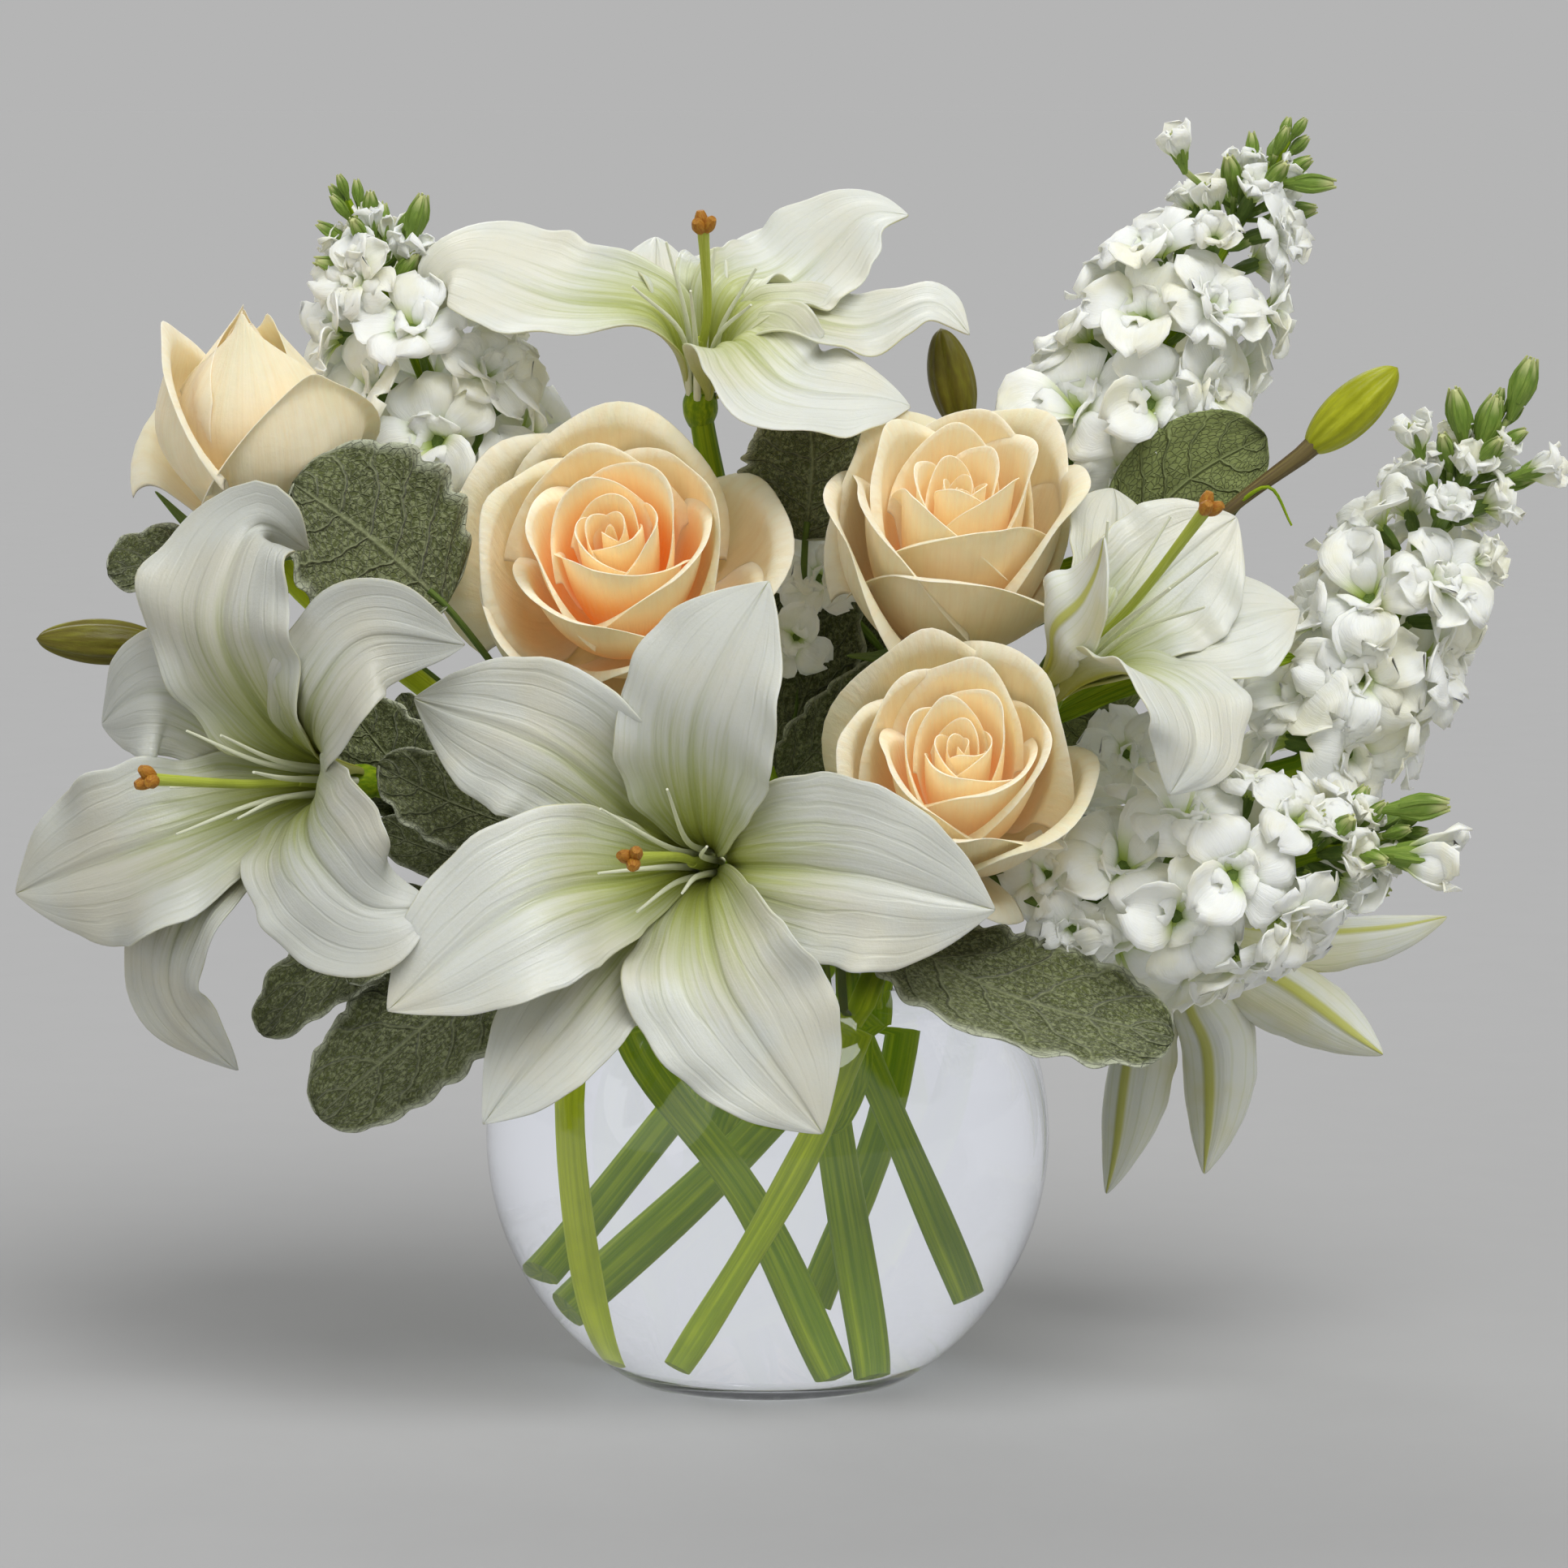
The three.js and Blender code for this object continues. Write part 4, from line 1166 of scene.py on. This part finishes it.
def rose_petal_surface(shape, rng):
    """One rose petal round the rose's own +Z axis, in millimetres.

    It climbs from the hip past its foot radius to its rim radius, and from roll_start on
    it rolls outwards. Towards its sides it is shorter, and rolls sooner and further.
    """
    foot, rim, top = shape["foot"], shape["rim"], shape["top"]
    route = Route([(2, 0, 0), (0.62 * foot, 0, 0.05 * top), (foot, 0, 0.22 * top),
                   (shape["belly"], 0, 0.6 * top), (rim, 0, top)])
    wave, second_wave = any_phase(rng), any_phase(rng)
    unevenness, drop = shape["uneven"], shape["drop"]
    roll_start = 0.74

    def surface(s, u):
        height = u * (1 - drop * np.abs(s) ** 2.2)
        turning = roll_start - (0.06 + 0.9 * drop) * s**2
        climb = np.minimum(height, turning) / roll_start
        profile, ahead = route.at(climb), route.along(climb)
        out, high = profile[:, 0], profile[:, 2]
        heading = np.arctan2(ahead[:, 0], ahead[:, 2])
        curl = np.clip((height - turning) / (1 - roll_start), 0, 1)
        amount = math.radians(shape["roll"]) * (0.5 + 0.9 * np.abs(s) ** 1.5) * curl
        tight = shape["curl_radius"] * (1 + 0.3 * np.sin(2.1 * s + wave))
        # The rim rolls outwards, round and tight, to a point in the middle.
        out = out + tight * (np.cos(heading) - np.cos(heading + amount))
        high = high + tight * (np.sin(heading + amount) - np.sin(heading))
        point_out = shape["point"] * np.exp(-((s / 0.2) ** 2)) * curl**1.5
        out = out + point_out * np.sin(heading + 0.75 * amount)
        high = high + point_out * np.cos(heading + 0.75 * amount)
        # One side lies under the next petal. The edges are wavy.
        out = out + shape["spiral"] * s * np.clip(1.6 * u, 0, 1)
        out = out + shape["flare"] * np.clip(np.abs(s) - 0.6, 0, 1) * climb**2 * 2.5
        ripple = np.sin(2.6 * s + wave) + 0.5 * np.sin(5.3 * s + 3 * u + second_wave)
        frill = np.sin(9.1 * s + 2 * wave) + 0.6 * np.sin(15.7 * s + second_wave)
        out = out + unevenness * (ripple * u**2 + 0.3 * frill * u**6)
        high = high + unevenness * (0.7 * np.sin(3.7 * s + second_wave) * u**3
                                    + 0.3 * np.sin(8.3 * s + wave) * u**6)
        width = 0.5 + 0.5 * np.sin(0.5 * math.pi * np.clip(u / 0.42, 0, 1))
        turn = shape["angle"] + shape["spread"] * s * width
        return np.stack([out * np.cos(turn), out * np.sin(turn), high], 1)

    return surface


# Whorls from the heart outwards: petals, then from first to last petal the foot, belly and
# rim radius and the top as shares of the bloom, the spread either side and the roll in
# degrees, the radius of the roll and how far the middle of the rim comes to a point, in mm.
OPEN_WHORLS = [
    (3, (0.05, 0.09), (0.05, 0.10), (0.03, 0.09), (0.90, 0.92), 130, 6, 1.0, 0.0),
    (4, (0.12, 0.17), (0.14, 0.20), (0.13, 0.21), (0.93, 0.96), 98, 24, 1.5, 0.5),
    (4, (0.20, 0.27), (0.25, 0.36), (0.26, 0.39), (0.97, 0.95), 86, 52, 2.2, 1.2),
    (5, (0.31, 0.41), (0.42, 0.56), (0.46, 0.62), (0.92, 0.82), 76, 84, 3.0, 2.6),
    (6, (0.48, 0.60), (0.65, 0.82), (0.72, 0.92), (0.74, 0.50), 68, 106, 3.8, 4.2),
]
BUD_WHORLS = [
    (3, (0.16, 0.22), (0.34, 0.42), (0.02, 0.05), (1.0, 0.98), 120, 2, 1.5, 0.0),
    (3, (0.28, 0.38), (0.58, 0.74), (0.04, 0.26), (0.97, 0.94), 104, 12, 2.6, 3.5),
    (3, (0.42, 0.50), (0.80, 0.92), (0.62, 0.94), (0.84, 0.60), 78, 100, 3.0, 4.5),
]


def rose_petals(rose, rng):
    """Shapes of all petals from the heart outwards, each with its share of the way out."""
    opened = rose["open"]
    whorls = OPEN_WHORLS if opened > BUD_OPENING else BUD_WHORLS
    total = sum(whorl[0] for whorl in whorls)
    shapes, angle, done = [], rose["turn"], 0
    for count, foot, belly, rim, top, spread, roll, curl_radius, point in whorls:
        for index in range(count):
            f = index / (count - 1)
            share = done / (total - 1)
            foot_share, belly_share, rim_share, top_share = (
                first + (last - first) * f for first, last in (foot, belly, rim, top))
            if opened > BUD_OPENING:
                closing = (1 - opened) * share**2
                rim_share *= 1 - 0.08 * closing
                top_share += 0.5 * closing
            shape = {
                "foot": rose["radius"] * foot_share,
                "rim": rose["radius"] * rim_share,
                "top": rose["height"] * top_share * rng.uniform(0.975, 1.02),
                "belly": rose["radius"] * belly_share,
                "spread": math.radians(spread) * rng.uniform(0.93, 1.07),
                "roll": roll * rng.uniform(0.8, 1.12),
                "curl_radius": curl_radius * rng.uniform(0.85, 1.2),
                "point": point * rng.uniform(0.7, 1.3),
                "angle": angle, "spiral": 1.0 + 3.0 * share, "flare": 0.2 + 2.2 * share,
                "uneven": 0.25 + 1.25 * share, "drop": 0.10 + 0.28 * share,
            }
            shapes.append((share, shape))
            angle += GOLDEN_ANGLE + rng.uniform(-0.12, 0.12)
            done += 1
    return shapes


def build_rose(name, rose):
    """A bloom of single petals over five sepals."""
    rng = random.Random(name)
    warmth = 1.0 if rose["open"] > BUD_OPENING else 0.5
    petals = []
    for number, (share, shape) in enumerate(rose_petals(rose, rng)):
        petal = sheet(f"{name}_{number}", 14, 16, rose_petal_surface(shape, rng))
        thicken(petal, settings().petal_thickness)
        mark(petal, "heart", warmth * max(0.0, 1 - share * 1.1))
        mark(petal, "blush", rose["blush"])
        dress(petal, "rose")
        petals.append(petal)
    for number in range(5):
        petals.append(build_sepal(rose, number))
    bloom = joined(name, petals)
    bloom.data.transform(Matrix.Translation(Vector(rose["base"]) * MM) @ standing(rose["axis"]))
    return bloom


def build_sepal(rose, number):
    """A green sepal that hugs the underside of the bloom."""
    angle = TAU * number / 5 + rose["turn"]
    radius, height = rose["radius"], rose["height"]
    route = Route([(3, 0, 1), (0.5 * radius, 0, 0.02 * height), (0.95 * radius, 0, 0.2 * height)])

    def surface(s, u):
        out, _, high = route.at(u).T
        half = 5.0 * (1 - u) ** 0.8 + 0.2
        around = angle + half * s / np.maximum(out, 3)
        return np.stack([out * np.cos(around), out * np.sin(around), high - 1.6], 1)

    sepal = sheet(f"sepal_{number}", 6, 10, surface)
    thicken(sepal, SEPAL_THICKNESS)
    return dress(sepal, "calyx")


def build_rose_stem(name, rose):
    """A stem and the hip on top of it."""
    axis, base = unit(rose["axis"]), np.array(rose["base"], float)
    stem = tube(name, "stem", rose["stem"],
                lambda u: ROSE_STEM_RADIUS + 0.2 * math.sin(23 * u), 14, 44)
    hip = tube("hip", "stem", [base - axis * 9, base - axis * 4, base + axis * 1.5],
               lambda u: 3.4 + 3.2 * math.sin(math.pi * (0.05 + 0.75 * u)), 14, 10)
    mark(stem, "ripe", rose.get("ripe", 0.0))
    return joined(name, [stem, hip])


class BOUQUET_OT_roses(bpy.types.Operator):
    """Builds the four roses, petal by petal, and their stems"""
    bl_idname = "bouquet.roses"
    bl_label = "Roses"

    def execute(self, context):
        for name, rose in ROSES.items():
            finish_piece(build_rose(f"{name}_petals", rose), f"{name}_bloom")
            stalk = with_stem_leaves(build_rose_stem(f"{name}_stalk", rose), name)
            finish_piece(stalk, f"{name}_stem")
        return {"FINISHED"}


# ------------------------------------------------------------------ stock

def crinkled_petal(name, length, width, lean, angle, rng, cells=(6, 7)):
    """A broad wavy petal of a floret that opens along +Z, notched at its end."""
    radial = np.array([math.cos(angle), math.sin(angle), 0])
    up = np.array([0.0, 0.0, 1.0])
    rise, reach = math.cos(lean), math.sin(lean)
    droop = rng.uniform(0.0, 0.5)
    tip = 0.34 + (0.66 - droop) * rise - 0.12 * droop * reach
    route = Route([radial * 0.8, radial * (1.0 + 0.12 * reach * length) + up * 0.22 * length,
                   radial * (0.5 * reach * length + 1) + up * (0.34 + 0.34 * rise) * length,
                   radial * (reach * length + 1) + up * tip * length])
    phases = [any_phase(rng) for _ in range(4)]
    crinkle = rng.uniform(0.09, 0.19) * width
    cupped = rng.uniform(-0.25, 0.5)

    def surface(s, u):
        place, tangent = route.at(u), route.along(u)
        normal = unit(up - tangent * (tangent @ up)[:, None] - radial * 0.2)
        side = np.cross(tangent, normal)
        half = 0.5 * width * (0.14 + 0.86 * np.sin(0.5 * math.pi * np.clip(u * 1.3, 0, 1)) ** 1.4)
        half = half * np.sqrt(np.clip(1.0 - np.clip((u - 0.5) / 0.5, 0, 1) ** 3.5, 0.06, 1))
        half = half * (1 + 0.08 * np.sin(9 * u + phases[3]) * u)
        notch = 0.12 * np.exp(-((s / 0.3) ** 2)) * u**5 + 0.04 * np.sin(7 * s + phases[2]) * u**3
        ripple = crinkle * u * (np.sin(3.2 * s + phases[0]) * 0.7
                                + np.sin(5.5 * s + 5 * u + phases[1]) * 0.55 * np.abs(s)
                                + np.sin(6 * u + phases[2]) * 0.25)
        lift = ripple + cupped * half * s**2
        moved = place + side * (half * s)[:, None] + normal * lift[:, None]
        return moved - tangent * (notch * length)[:, None]

    petal = sheet(name, *cells, surface)
    thicken(petal, FLORET_THICKNESS, smoothing=0)
    return dress(petal, "stock")


# Whorls of a floret, outermost first: petals, length, width and lean from upright.
DOUBLE_FLORET = [(5, 17.5, 18.0, 1.4), (4, 14.0, 15.0, 0.9), (3, 11.0, 12.0, 0.4)]
SINGLE_FLORET = [(4, 19.0, 21.0, 1.32), (3, 12.5, 14.0, 0.6)]
YOUNG_FLORET = [(4, 13.0, 13.5, 0.75), (3, 11.0, 12.0, 0.35)]


def build_floret(name, seed, whorls):
    """One floret open along +Z, with its calyx below."""
    rng = random.Random(seed)
    parts = []
    for whorl, (count, length, width, lean) in enumerate(whorls):
        for index in range(count):
            angle = TAU * (index + 0.5 * whorl) / count + rng.uniform(-0.3, 0.3)
            parts.append(crinkled_petal(
                f"{name}_{whorl}_{index}", length * rng.uniform(0.85, 1.08),
                width * rng.uniform(0.88, 1.12), lean + rng.uniform(-0.34, 0.2), angle, rng,
                cells=(8, 8) if whorl == 0 else (6, 7)))
    parts.append(tube("calyx", "calyx", [(0, 0, -9), (0, 0, -4), (0, 0, 2.5)],
                      lambda u: 0.9 + 1.6 * math.sin(math.pi * (0.08 + 0.7 * u)), 7, 4))
    return joined(name, parts)


def build_stock_bud(name, opening):
    """A slender bud about 12 mm long, upright along +Z, in four keeled sepals."""
    rng = random.Random(name)
    parts = [tube(name, "young bud", [(0, 0, -4), (0, 0, 1), (0, 0, 9)], lambda u: 0.6 + 1.9 *
                  math.sin(math.pi * min(1, 0.05 + 0.9 * u**1.3)), 8, 8)]
    for index in range(4):
        angle = index * math.pi / 2 + 0.4
        out = np.array([math.cos(angle), math.sin(angle), 0])
        route = [out * 1.3, out * 2.5 + [0, 0, 4], out * 1.1 + [0, 0, 9.6]]
        parts.append(tube("keel", "young bud", route, lambda u: 0.85 - 0.55 * u, 6, 5))
    if opening:
        for index in range(5):
            parts.append(crinkled_petal(f"{name}_{index}", rng.uniform(13, 15.5), 11,
                                        0.2 + 0.2 * (index % 2), 1.35 * index, rng,
                                        cells=(5, 6)))
    return joined(name, parts)


def build_spike(name, stock, patterns):
    """Florets in a spiral round the stem, smaller and steeper upwards, then buds."""
    rng = random.Random(name)
    foot, top = np.array(stock["foot"], float), np.array(stock["top"], float)
    axis = unit(top - foot)
    length = np.linalg.norm(top - foot)
    side, other = two_across(axis, [0.3, 0.9, 0.1])
    parts = []

    def set_out(kind, centre, direction, size, joint):
        """Sets a copy in its place, on a little stalk of its own from joint."""
        pattern = rng.choice(patterns[kind])
        direction = unit(direction)
        matrix = (Matrix.Translation(Vector(centre) * MM)
                  @ standing(direction, any_phase(rng)) @ Matrix.Scale(size, 4))
        parts.append(copy_of(pattern, matrix, f"{name}_{len(parts)}"))
        heel = centre - direction * (7 if "floret" in kind else 3) * size
        if np.linalg.norm(heel - joint) > 3:
            bend = 0.5 * (joint + heel) + (direction - axis) * 1.2
            thick = 1.0 if "floret" in kind else 0.65
            parts.append(tube("stalk", "young bud", [joint, bend, heel],
                              lambda u: thick + 0.2 * u, 6, 4))

    def ring(kind, t, angle, distance, tilt, size):
        """Sets one out from the stem, t of the way up the spike."""
        outward = side * math.cos(angle) + other * math.sin(angle)
        centre = foot + axis * (t * length) + outward * distance
        set_out(kind, centre, outward * math.cos(tilt) + axis * math.sin(tilt), size,
                foot + axis * (t * length - 4 - 0.4 * distance))

    shares, heights = np.array(stock["outline"]).T
    total = stock["florets"]
    for index in range(total):
        f = index / (total - 1)
        t = 0.02 + 0.72 * f**0.95
        size = (1.08 - 0.32 * f) * rng.uniform(0.92, 1.07)
        distance = max(3.0, stock["radius"] * np.interp(t, heights, shares) - 13.0 * size)
        kind = "floret" if f < 0.8 or rng.random() < 0.7 else "young floret"
        ring(kind, t, index * GOLDEN_ANGLE + rng.uniform(-0.2, 0.2), distance,
             0.05 + 0.7 * f + rng.uniform(-0.25, 0.25), size)
    for index in range(7):
        ring("young floret" if index % 2 else "half open", 0.72 + 0.14 * index / 6,
             index * GOLDEN_ANGLE + 0.7, 8.0 - 0.6 * index, 0.7 + 0.08 * index,
             0.95 - 0.04 * index)
    for index in range(12):
        f = index / 11
        ring("bud", 0.80 + 0.19 * f, index * GOLDEN_ANGLE + 1, 9.0 * (1 - f) + 1.0,
             0.6 + 0.8 * f, 0.95 - 0.4 * f)
    for kind, centre, direction, size in stock["buds"]:
        set_out(kind, np.array(centre), direction, size, foot + axis * 0.76 * length)
    for kind, centre, direction, size in stock.get("shoots", []):
        set_out(kind, np.array(centre), direction, size, np.array(stock["shoot_from"]))
    route = [*stock["stem"], foot + axis * 0.5 * length, foot + axis * 0.97 * length]
    stem = tube(name, "stem", route,
                lambda u: STOCK_STEM_RADIUS - 2.2 * max(0, u - 0.7) / 0.3, 12, 48)
    return joined(name, [stem, *parts])


def stock_patterns():
    """The few florets and buds that all spikes are made up of, by kind."""
    florets = [build_floret(f"floret_{seed}", seed, whorls) for seed, whorls in
               ((3, DOUBLE_FLORET), (11, SINGLE_FLORET), (23, DOUBLE_FLORET), (31, SINGLE_FLORET))]
    return {"floret": florets, "young floret": [build_floret("floret_young", 7, YOUNG_FLORET)],
            "bud": [build_stock_bud("bud_green", False)],
            "half open": [build_stock_bud("bud_white", True)]}


class BOUQUET_OT_stock(bpy.types.Operator):
    """Builds the four spikes of white stock from a few floret patterns"""
    bl_idname = "bouquet.stock"
    bl_label = "Stock"

    def execute(self, context):
        patterns = stock_patterns()
        for name, stock in STOCKS.items():
            spike = with_stem_leaves(build_spike(f"{name}_spike", stock, patterns), name)
            finish_piece(spike, name)
        for pattern in sum(patterns.values(), []):
            bpy.data.objects.remove(pattern)
        return {"FINISHED"}


# ------------------------------------------------------------------ leaves

def build_blade(name, points, width, facing, finish):
    """One leaf blade, scalloped if felted, as broad near its end as near its foot."""
    rng = random.Random(name)
    route = Route(points)
    facing = unit(facing)
    felted = finish == "felt leaf"
    lobes = 1 + route.length / SCALLOP_LENGTH if felted else 0
    starts = [any_phase(rng) for _ in range(3)]

    def surface(s, u):
        place, tangent = route.at(u), route.along(u)
        normal = unit(facing - tangent * (tangent @ facing)[:, None])
        side = np.cross(tangent, normal)
        half = 0.5 * width * np.sin(math.pi * np.clip(u, 0, 1) ** 0.95) ** 0.42
        if lobes:
            scallop = np.abs(np.sin(math.pi * lobes * (u + 0.03 * np.sign(s)) + starts[0])) ** 0.7
            half = half * (1 + SCALLOP_DEPTH * (scallop - 0.7) * np.abs(s) ** 1.5)
            half = half * (1 + 0.03 * np.sin(40 * u + starts[1]) * s**2)
        lift = 0.12 * half * s**2 - 0.8 * np.exp(-((s / 0.06) ** 2))
        lift = lift + 0.045 * width * np.sin(6 * u + starts[2] + np.sign(s)) * s**2
        lift = lift + 0.9 * np.sin(TAU * 6 * (u - 0.3 * np.abs(s))) * np.abs(s) ** 0.7
        if lobes:
            lift = lift + 1.1 * (scallop - 0.7) * np.abs(s) ** 3
        return place + side * (half * s)[:, None] + normal * lift[:, None]

    broad = width > 18
    blade = sheet(name, 20 if broad else 10, 60 if broad and felted else 24, surface)
    thicken(blade, LEAF_THICKNESS)
    return dress(blade, finish)


def build_leaf(name, kind, finish):
    """A leaf on its stalk, with any smaller ones that leave the same stalk."""
    parts = [build_blade(name, kind["blade"], kind["width"], kind["facing"], finish)]
    joint = Route(kind["blade"]).at(np.array([0.12]))[0]
    stalk = [*kind["stalk"], kind["blade"][0], joint]
    parts.append(tube("stalk", "calyx", stalk, lambda u: 1.3 - 0.4 * u, 9, 28))
    leaving = Route(stalk).at(np.array([0.6]))[0]
    for number, (points, width) in enumerate(kind.get("more", [])):
        parts.append(build_blade(f"{name}_{number}", points, width, kind["facing"], finish))
        joint = Route(points).at(np.array([0.15]))[0]
        parts.append(tube("stalk", "calyx", [leaving, points[0], joint],
                          lambda u: 1.0 - 0.4 * u, 7, 12))
    return joined(name, parts)


class BOUQUET_OT_leaves(bpy.types.Operator):
    """Builds the felted leaves and the round leaf with their stalks"""
    bl_idname = "bouquet.leaves"
    bl_label = "Leaves"

    def execute(self, context):
        for name, kind in LEAVES.items():
            finish = "round leaf" if name == "leaf_round" else "felt leaf"
            leaf = build_leaf(f"{name}_blade", kind, finish)
            finish_piece(leaf, name)
        return {"FINISHED"}


# ------------------------------------------------------------------ bowl and water

def ball_arc(radius, low, high):
    """Points of the bowl's round outline between two heights."""
    start, end = (math.asin((height - BOWL_CENTRE) / radius) for height in (low, high))
    return [(radius * math.cos(a), BOWL_CENTRE + radius * math.sin(a))
            for a in np.linspace(start, end, 44)]


def build_bowl():
    """Outside, ground rim and inside in one closed wall."""
    rim = BOWL_CENTRE + math.sqrt(BOWL_RADIUS**2 - BOWL_MOUTH_RADIUS**2)
    middle = BOWL_MOUTH_RADIUS - BOWL_WALL / 2
    lip = [(middle + 1.45 * math.cos(a), rim - 1 + 1.5 * math.sin(a))
           for a in np.linspace(0.35, math.pi - 0.35, 7)]
    inner = BOWL_RADIUS - BOWL_WALL
    profile = [(0, 0), (BOWL_BASE_RADIUS - 2, 0), *ball_arc(BOWL_RADIUS, 0.6, rim - 1.5), *lip,
               *ball_arc(inner, rim - 3, BOWL_FLOOR + 1.5), (BOWL_FLOOR_RADIUS, BOWL_FLOOR),
               (0, BOWL_FLOOR)]
    return lathe("bowl_glass", "glass", profile)


def build_water():
    """Reaches a hair into the glass, so that light passes from water to glass."""
    low = BOWL_FLOOR - WATER_INTO_GLASS
    arc = ball_arc(BOWL_RADIUS - BOWL_WALL + WATER_INTO_GLASS, BOWL_FLOOR + 1.5, WATER_LEVEL)
    return lathe("bowl_water", "water",
                 [(0, low), (BOWL_FLOOR_RADIUS, low), *arc, (0, WATER_LEVEL)])


class BOUQUET_OT_bowl(bpy.types.Operator):
    """Builds the blown glass bowl and the water that fills it"""
    bl_idname = "bouquet.bowl"
    bl_label = "Bowl and water"

    def execute(self, context):
        finish_piece(build_bowl(), "glass_bowl")
        finish_piece(build_water(), "water")
        return {"FINISHED"}


# ------------------------------------------------------------------ stage

def add_sun(name, towards_light, strength, size):
    """A lamp so far away that it lights the floor evenly."""
    data = bpy.data.lights.new(name, "SUN")
    data.energy = strength
    data.angle = math.radians(size)
    lamp = bpy.data.objects.new(name, data)
    lamp.rotation_euler = Vector(towards_light).to_track_quat("Z", "Y").to_euler()
    lamp.location = Vector(towards_light)
    lamp.visible_transmission = False
    bpy.context.collection.objects.link(lamp)


def seen_through_glass(sketch):
    """1 for what the bowl shows of the room, 0 for what lights the stems in it."""
    ray = sketch.node("ShaderNodeLightPath")
    straight = sketch.math("LESS_THAN", ray["Diffuse Depth"] + ray["Glossy Depth"], 0.5)
    return ray["Is Transmission Ray"] * straight


def add_camera():
    distance = settings().camera_distance
    data = bpy.data.cameras.new("camera")
    data.sensor_width = SENSOR_WIDTH
    data.lens = SENSOR_WIDTH * distance / VIEW_WIDTH
    camera = bpy.data.objects.new("camera", data)
    away = Vector((0, -math.cos(CAMERA_TILT), math.sin(CAMERA_TILT)))
    camera.location = CAMERA_TARGET + distance * away
    ahead = CAMERA_TARGET - camera.location
    camera.rotation_euler = ahead.to_track_quat("-Z", "Y").to_euler()
    bpy.context.collection.objects.link(camera)
    bpy.context.scene.camera = camera


def add_floor(choice):
    """A plain grey floor, which the bowl shows as the same pale tone as the room."""
    bpy.ops.mesh.primitive_circle_add(vertices=96, radius=FLOOR_RADIUS, fill_type="NGON")
    floor = bpy.context.object
    floor.name = "floor"
    paint = Paint("Floor", Roughness=1.0, Specular_IOR_Level=0.0)
    grain = paint.noise(paint.position, 40.0, 4.0)
    tone = choice.floor_colour
    paint.join(Base_Color=paint.blend(grain, tone, darker(tone, 0.97)))
    pale = paint.node("ShaderNodeEmission", {"Color": choice.seen_in_glass})
    floor.data.materials.append(paint.join_either(seen_through_glass(paint), pale))


def add_room_light(choice):
    """Soft light all round. The camera sees plain grey, and the bowl a pale wall."""
    world = bpy.data.worlds.new("studio")
    world.use_nodes = True
    sketch = Sketch(world.node_tree)
    wall, pale, grey = (
        sketch.node("ShaderNodeBackground", {"Color": colour, "Strength": strength})
        for colour, strength in (((1.0, 1.0, 1.0), choice.room_light),
                                 (choice.seen_in_glass, 1.0), (choice.backdrop, 1.0)))
    light = sketch.either(seen_through_glass(sketch), wall, pale)
    light = sketch.either(sketch.node("ShaderNodeLightPath")["Is Camera Ray"], light, grey)
    sketch.put(sketch.tree.nodes["World Output"].inputs["Surface"], light)
    bpy.context.scene.world = world


class BOUQUET_OT_stage(bpy.types.Operator):
    """Adds the camera, the pale floor and the soft studio light"""
    bl_idname = "bouquet.stage"
    bl_label = "Stage"

    def execute(self, context):
        choice = context.scene.bouquet_stage
        add_camera()
        add_floor(choice)
        add_room_light(choice)
        for name, (towards_light, share, size) in LAMPS.items():
            add_sun(name, towards_light, share * choice.key_light, size)
        context.scene.view_settings.view_transform = "Standard"
        context.scene.view_settings.look = "None"
        return {"FINISHED"}


# ------------------------------------------------------------------ panel and run

class BOUQUET_PT_panel(bpy.types.Panel):
    """The bouquet's pieces and settings"""
    bl_idname = "BOUQUET_PT_panel"
    bl_label = "Bouquet"
    bl_space_type = "VIEW_3D"
    bl_region_type = "UI"
    bl_category = "Bouquet"

    def draw(self, context):
        layout = self.layout
        for choice in (context.scene.bouquet, context.scene.bouquet_stage):
            for name in choice.__annotations__:
                layout.prop(choice, name)
        for operator in OPERATORS:
            layout.operator(operator.bl_idname)


OPERATORS = (BOUQUET_OT_stage, BOUQUET_OT_bowl, BOUQUET_OT_lilies, BOUQUET_OT_buds,
             BOUQUET_OT_roses, BOUQUET_OT_stock, BOUQUET_OT_leaves)
CLASSES = (BouquetSettings, StageSettings, *OPERATORS, BOUQUET_PT_panel)


def register():
    for cls in CLASSES:
        bpy.utils.register_class(cls)
    bpy.types.Scene.bouquet = bpy.props.PointerProperty(type=BouquetSettings)
    bpy.types.Scene.bouquet_stage = bpy.props.PointerProperty(type=StageSettings)


def unregister():
    del bpy.types.Scene.bouquet_stage
    del bpy.types.Scene.bouquet
    for cls in reversed(CLASSES):
        bpy.utils.unregister_class(cls)


def write_sizes():
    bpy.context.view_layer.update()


def main():
    register()
    for operator in OPERATORS:
        group, name = operator.bl_idname.split(".")
        getattr(getattr(bpy.ops, group), name)()
    write_sizes()


if __name__ == "__main__":
    main()
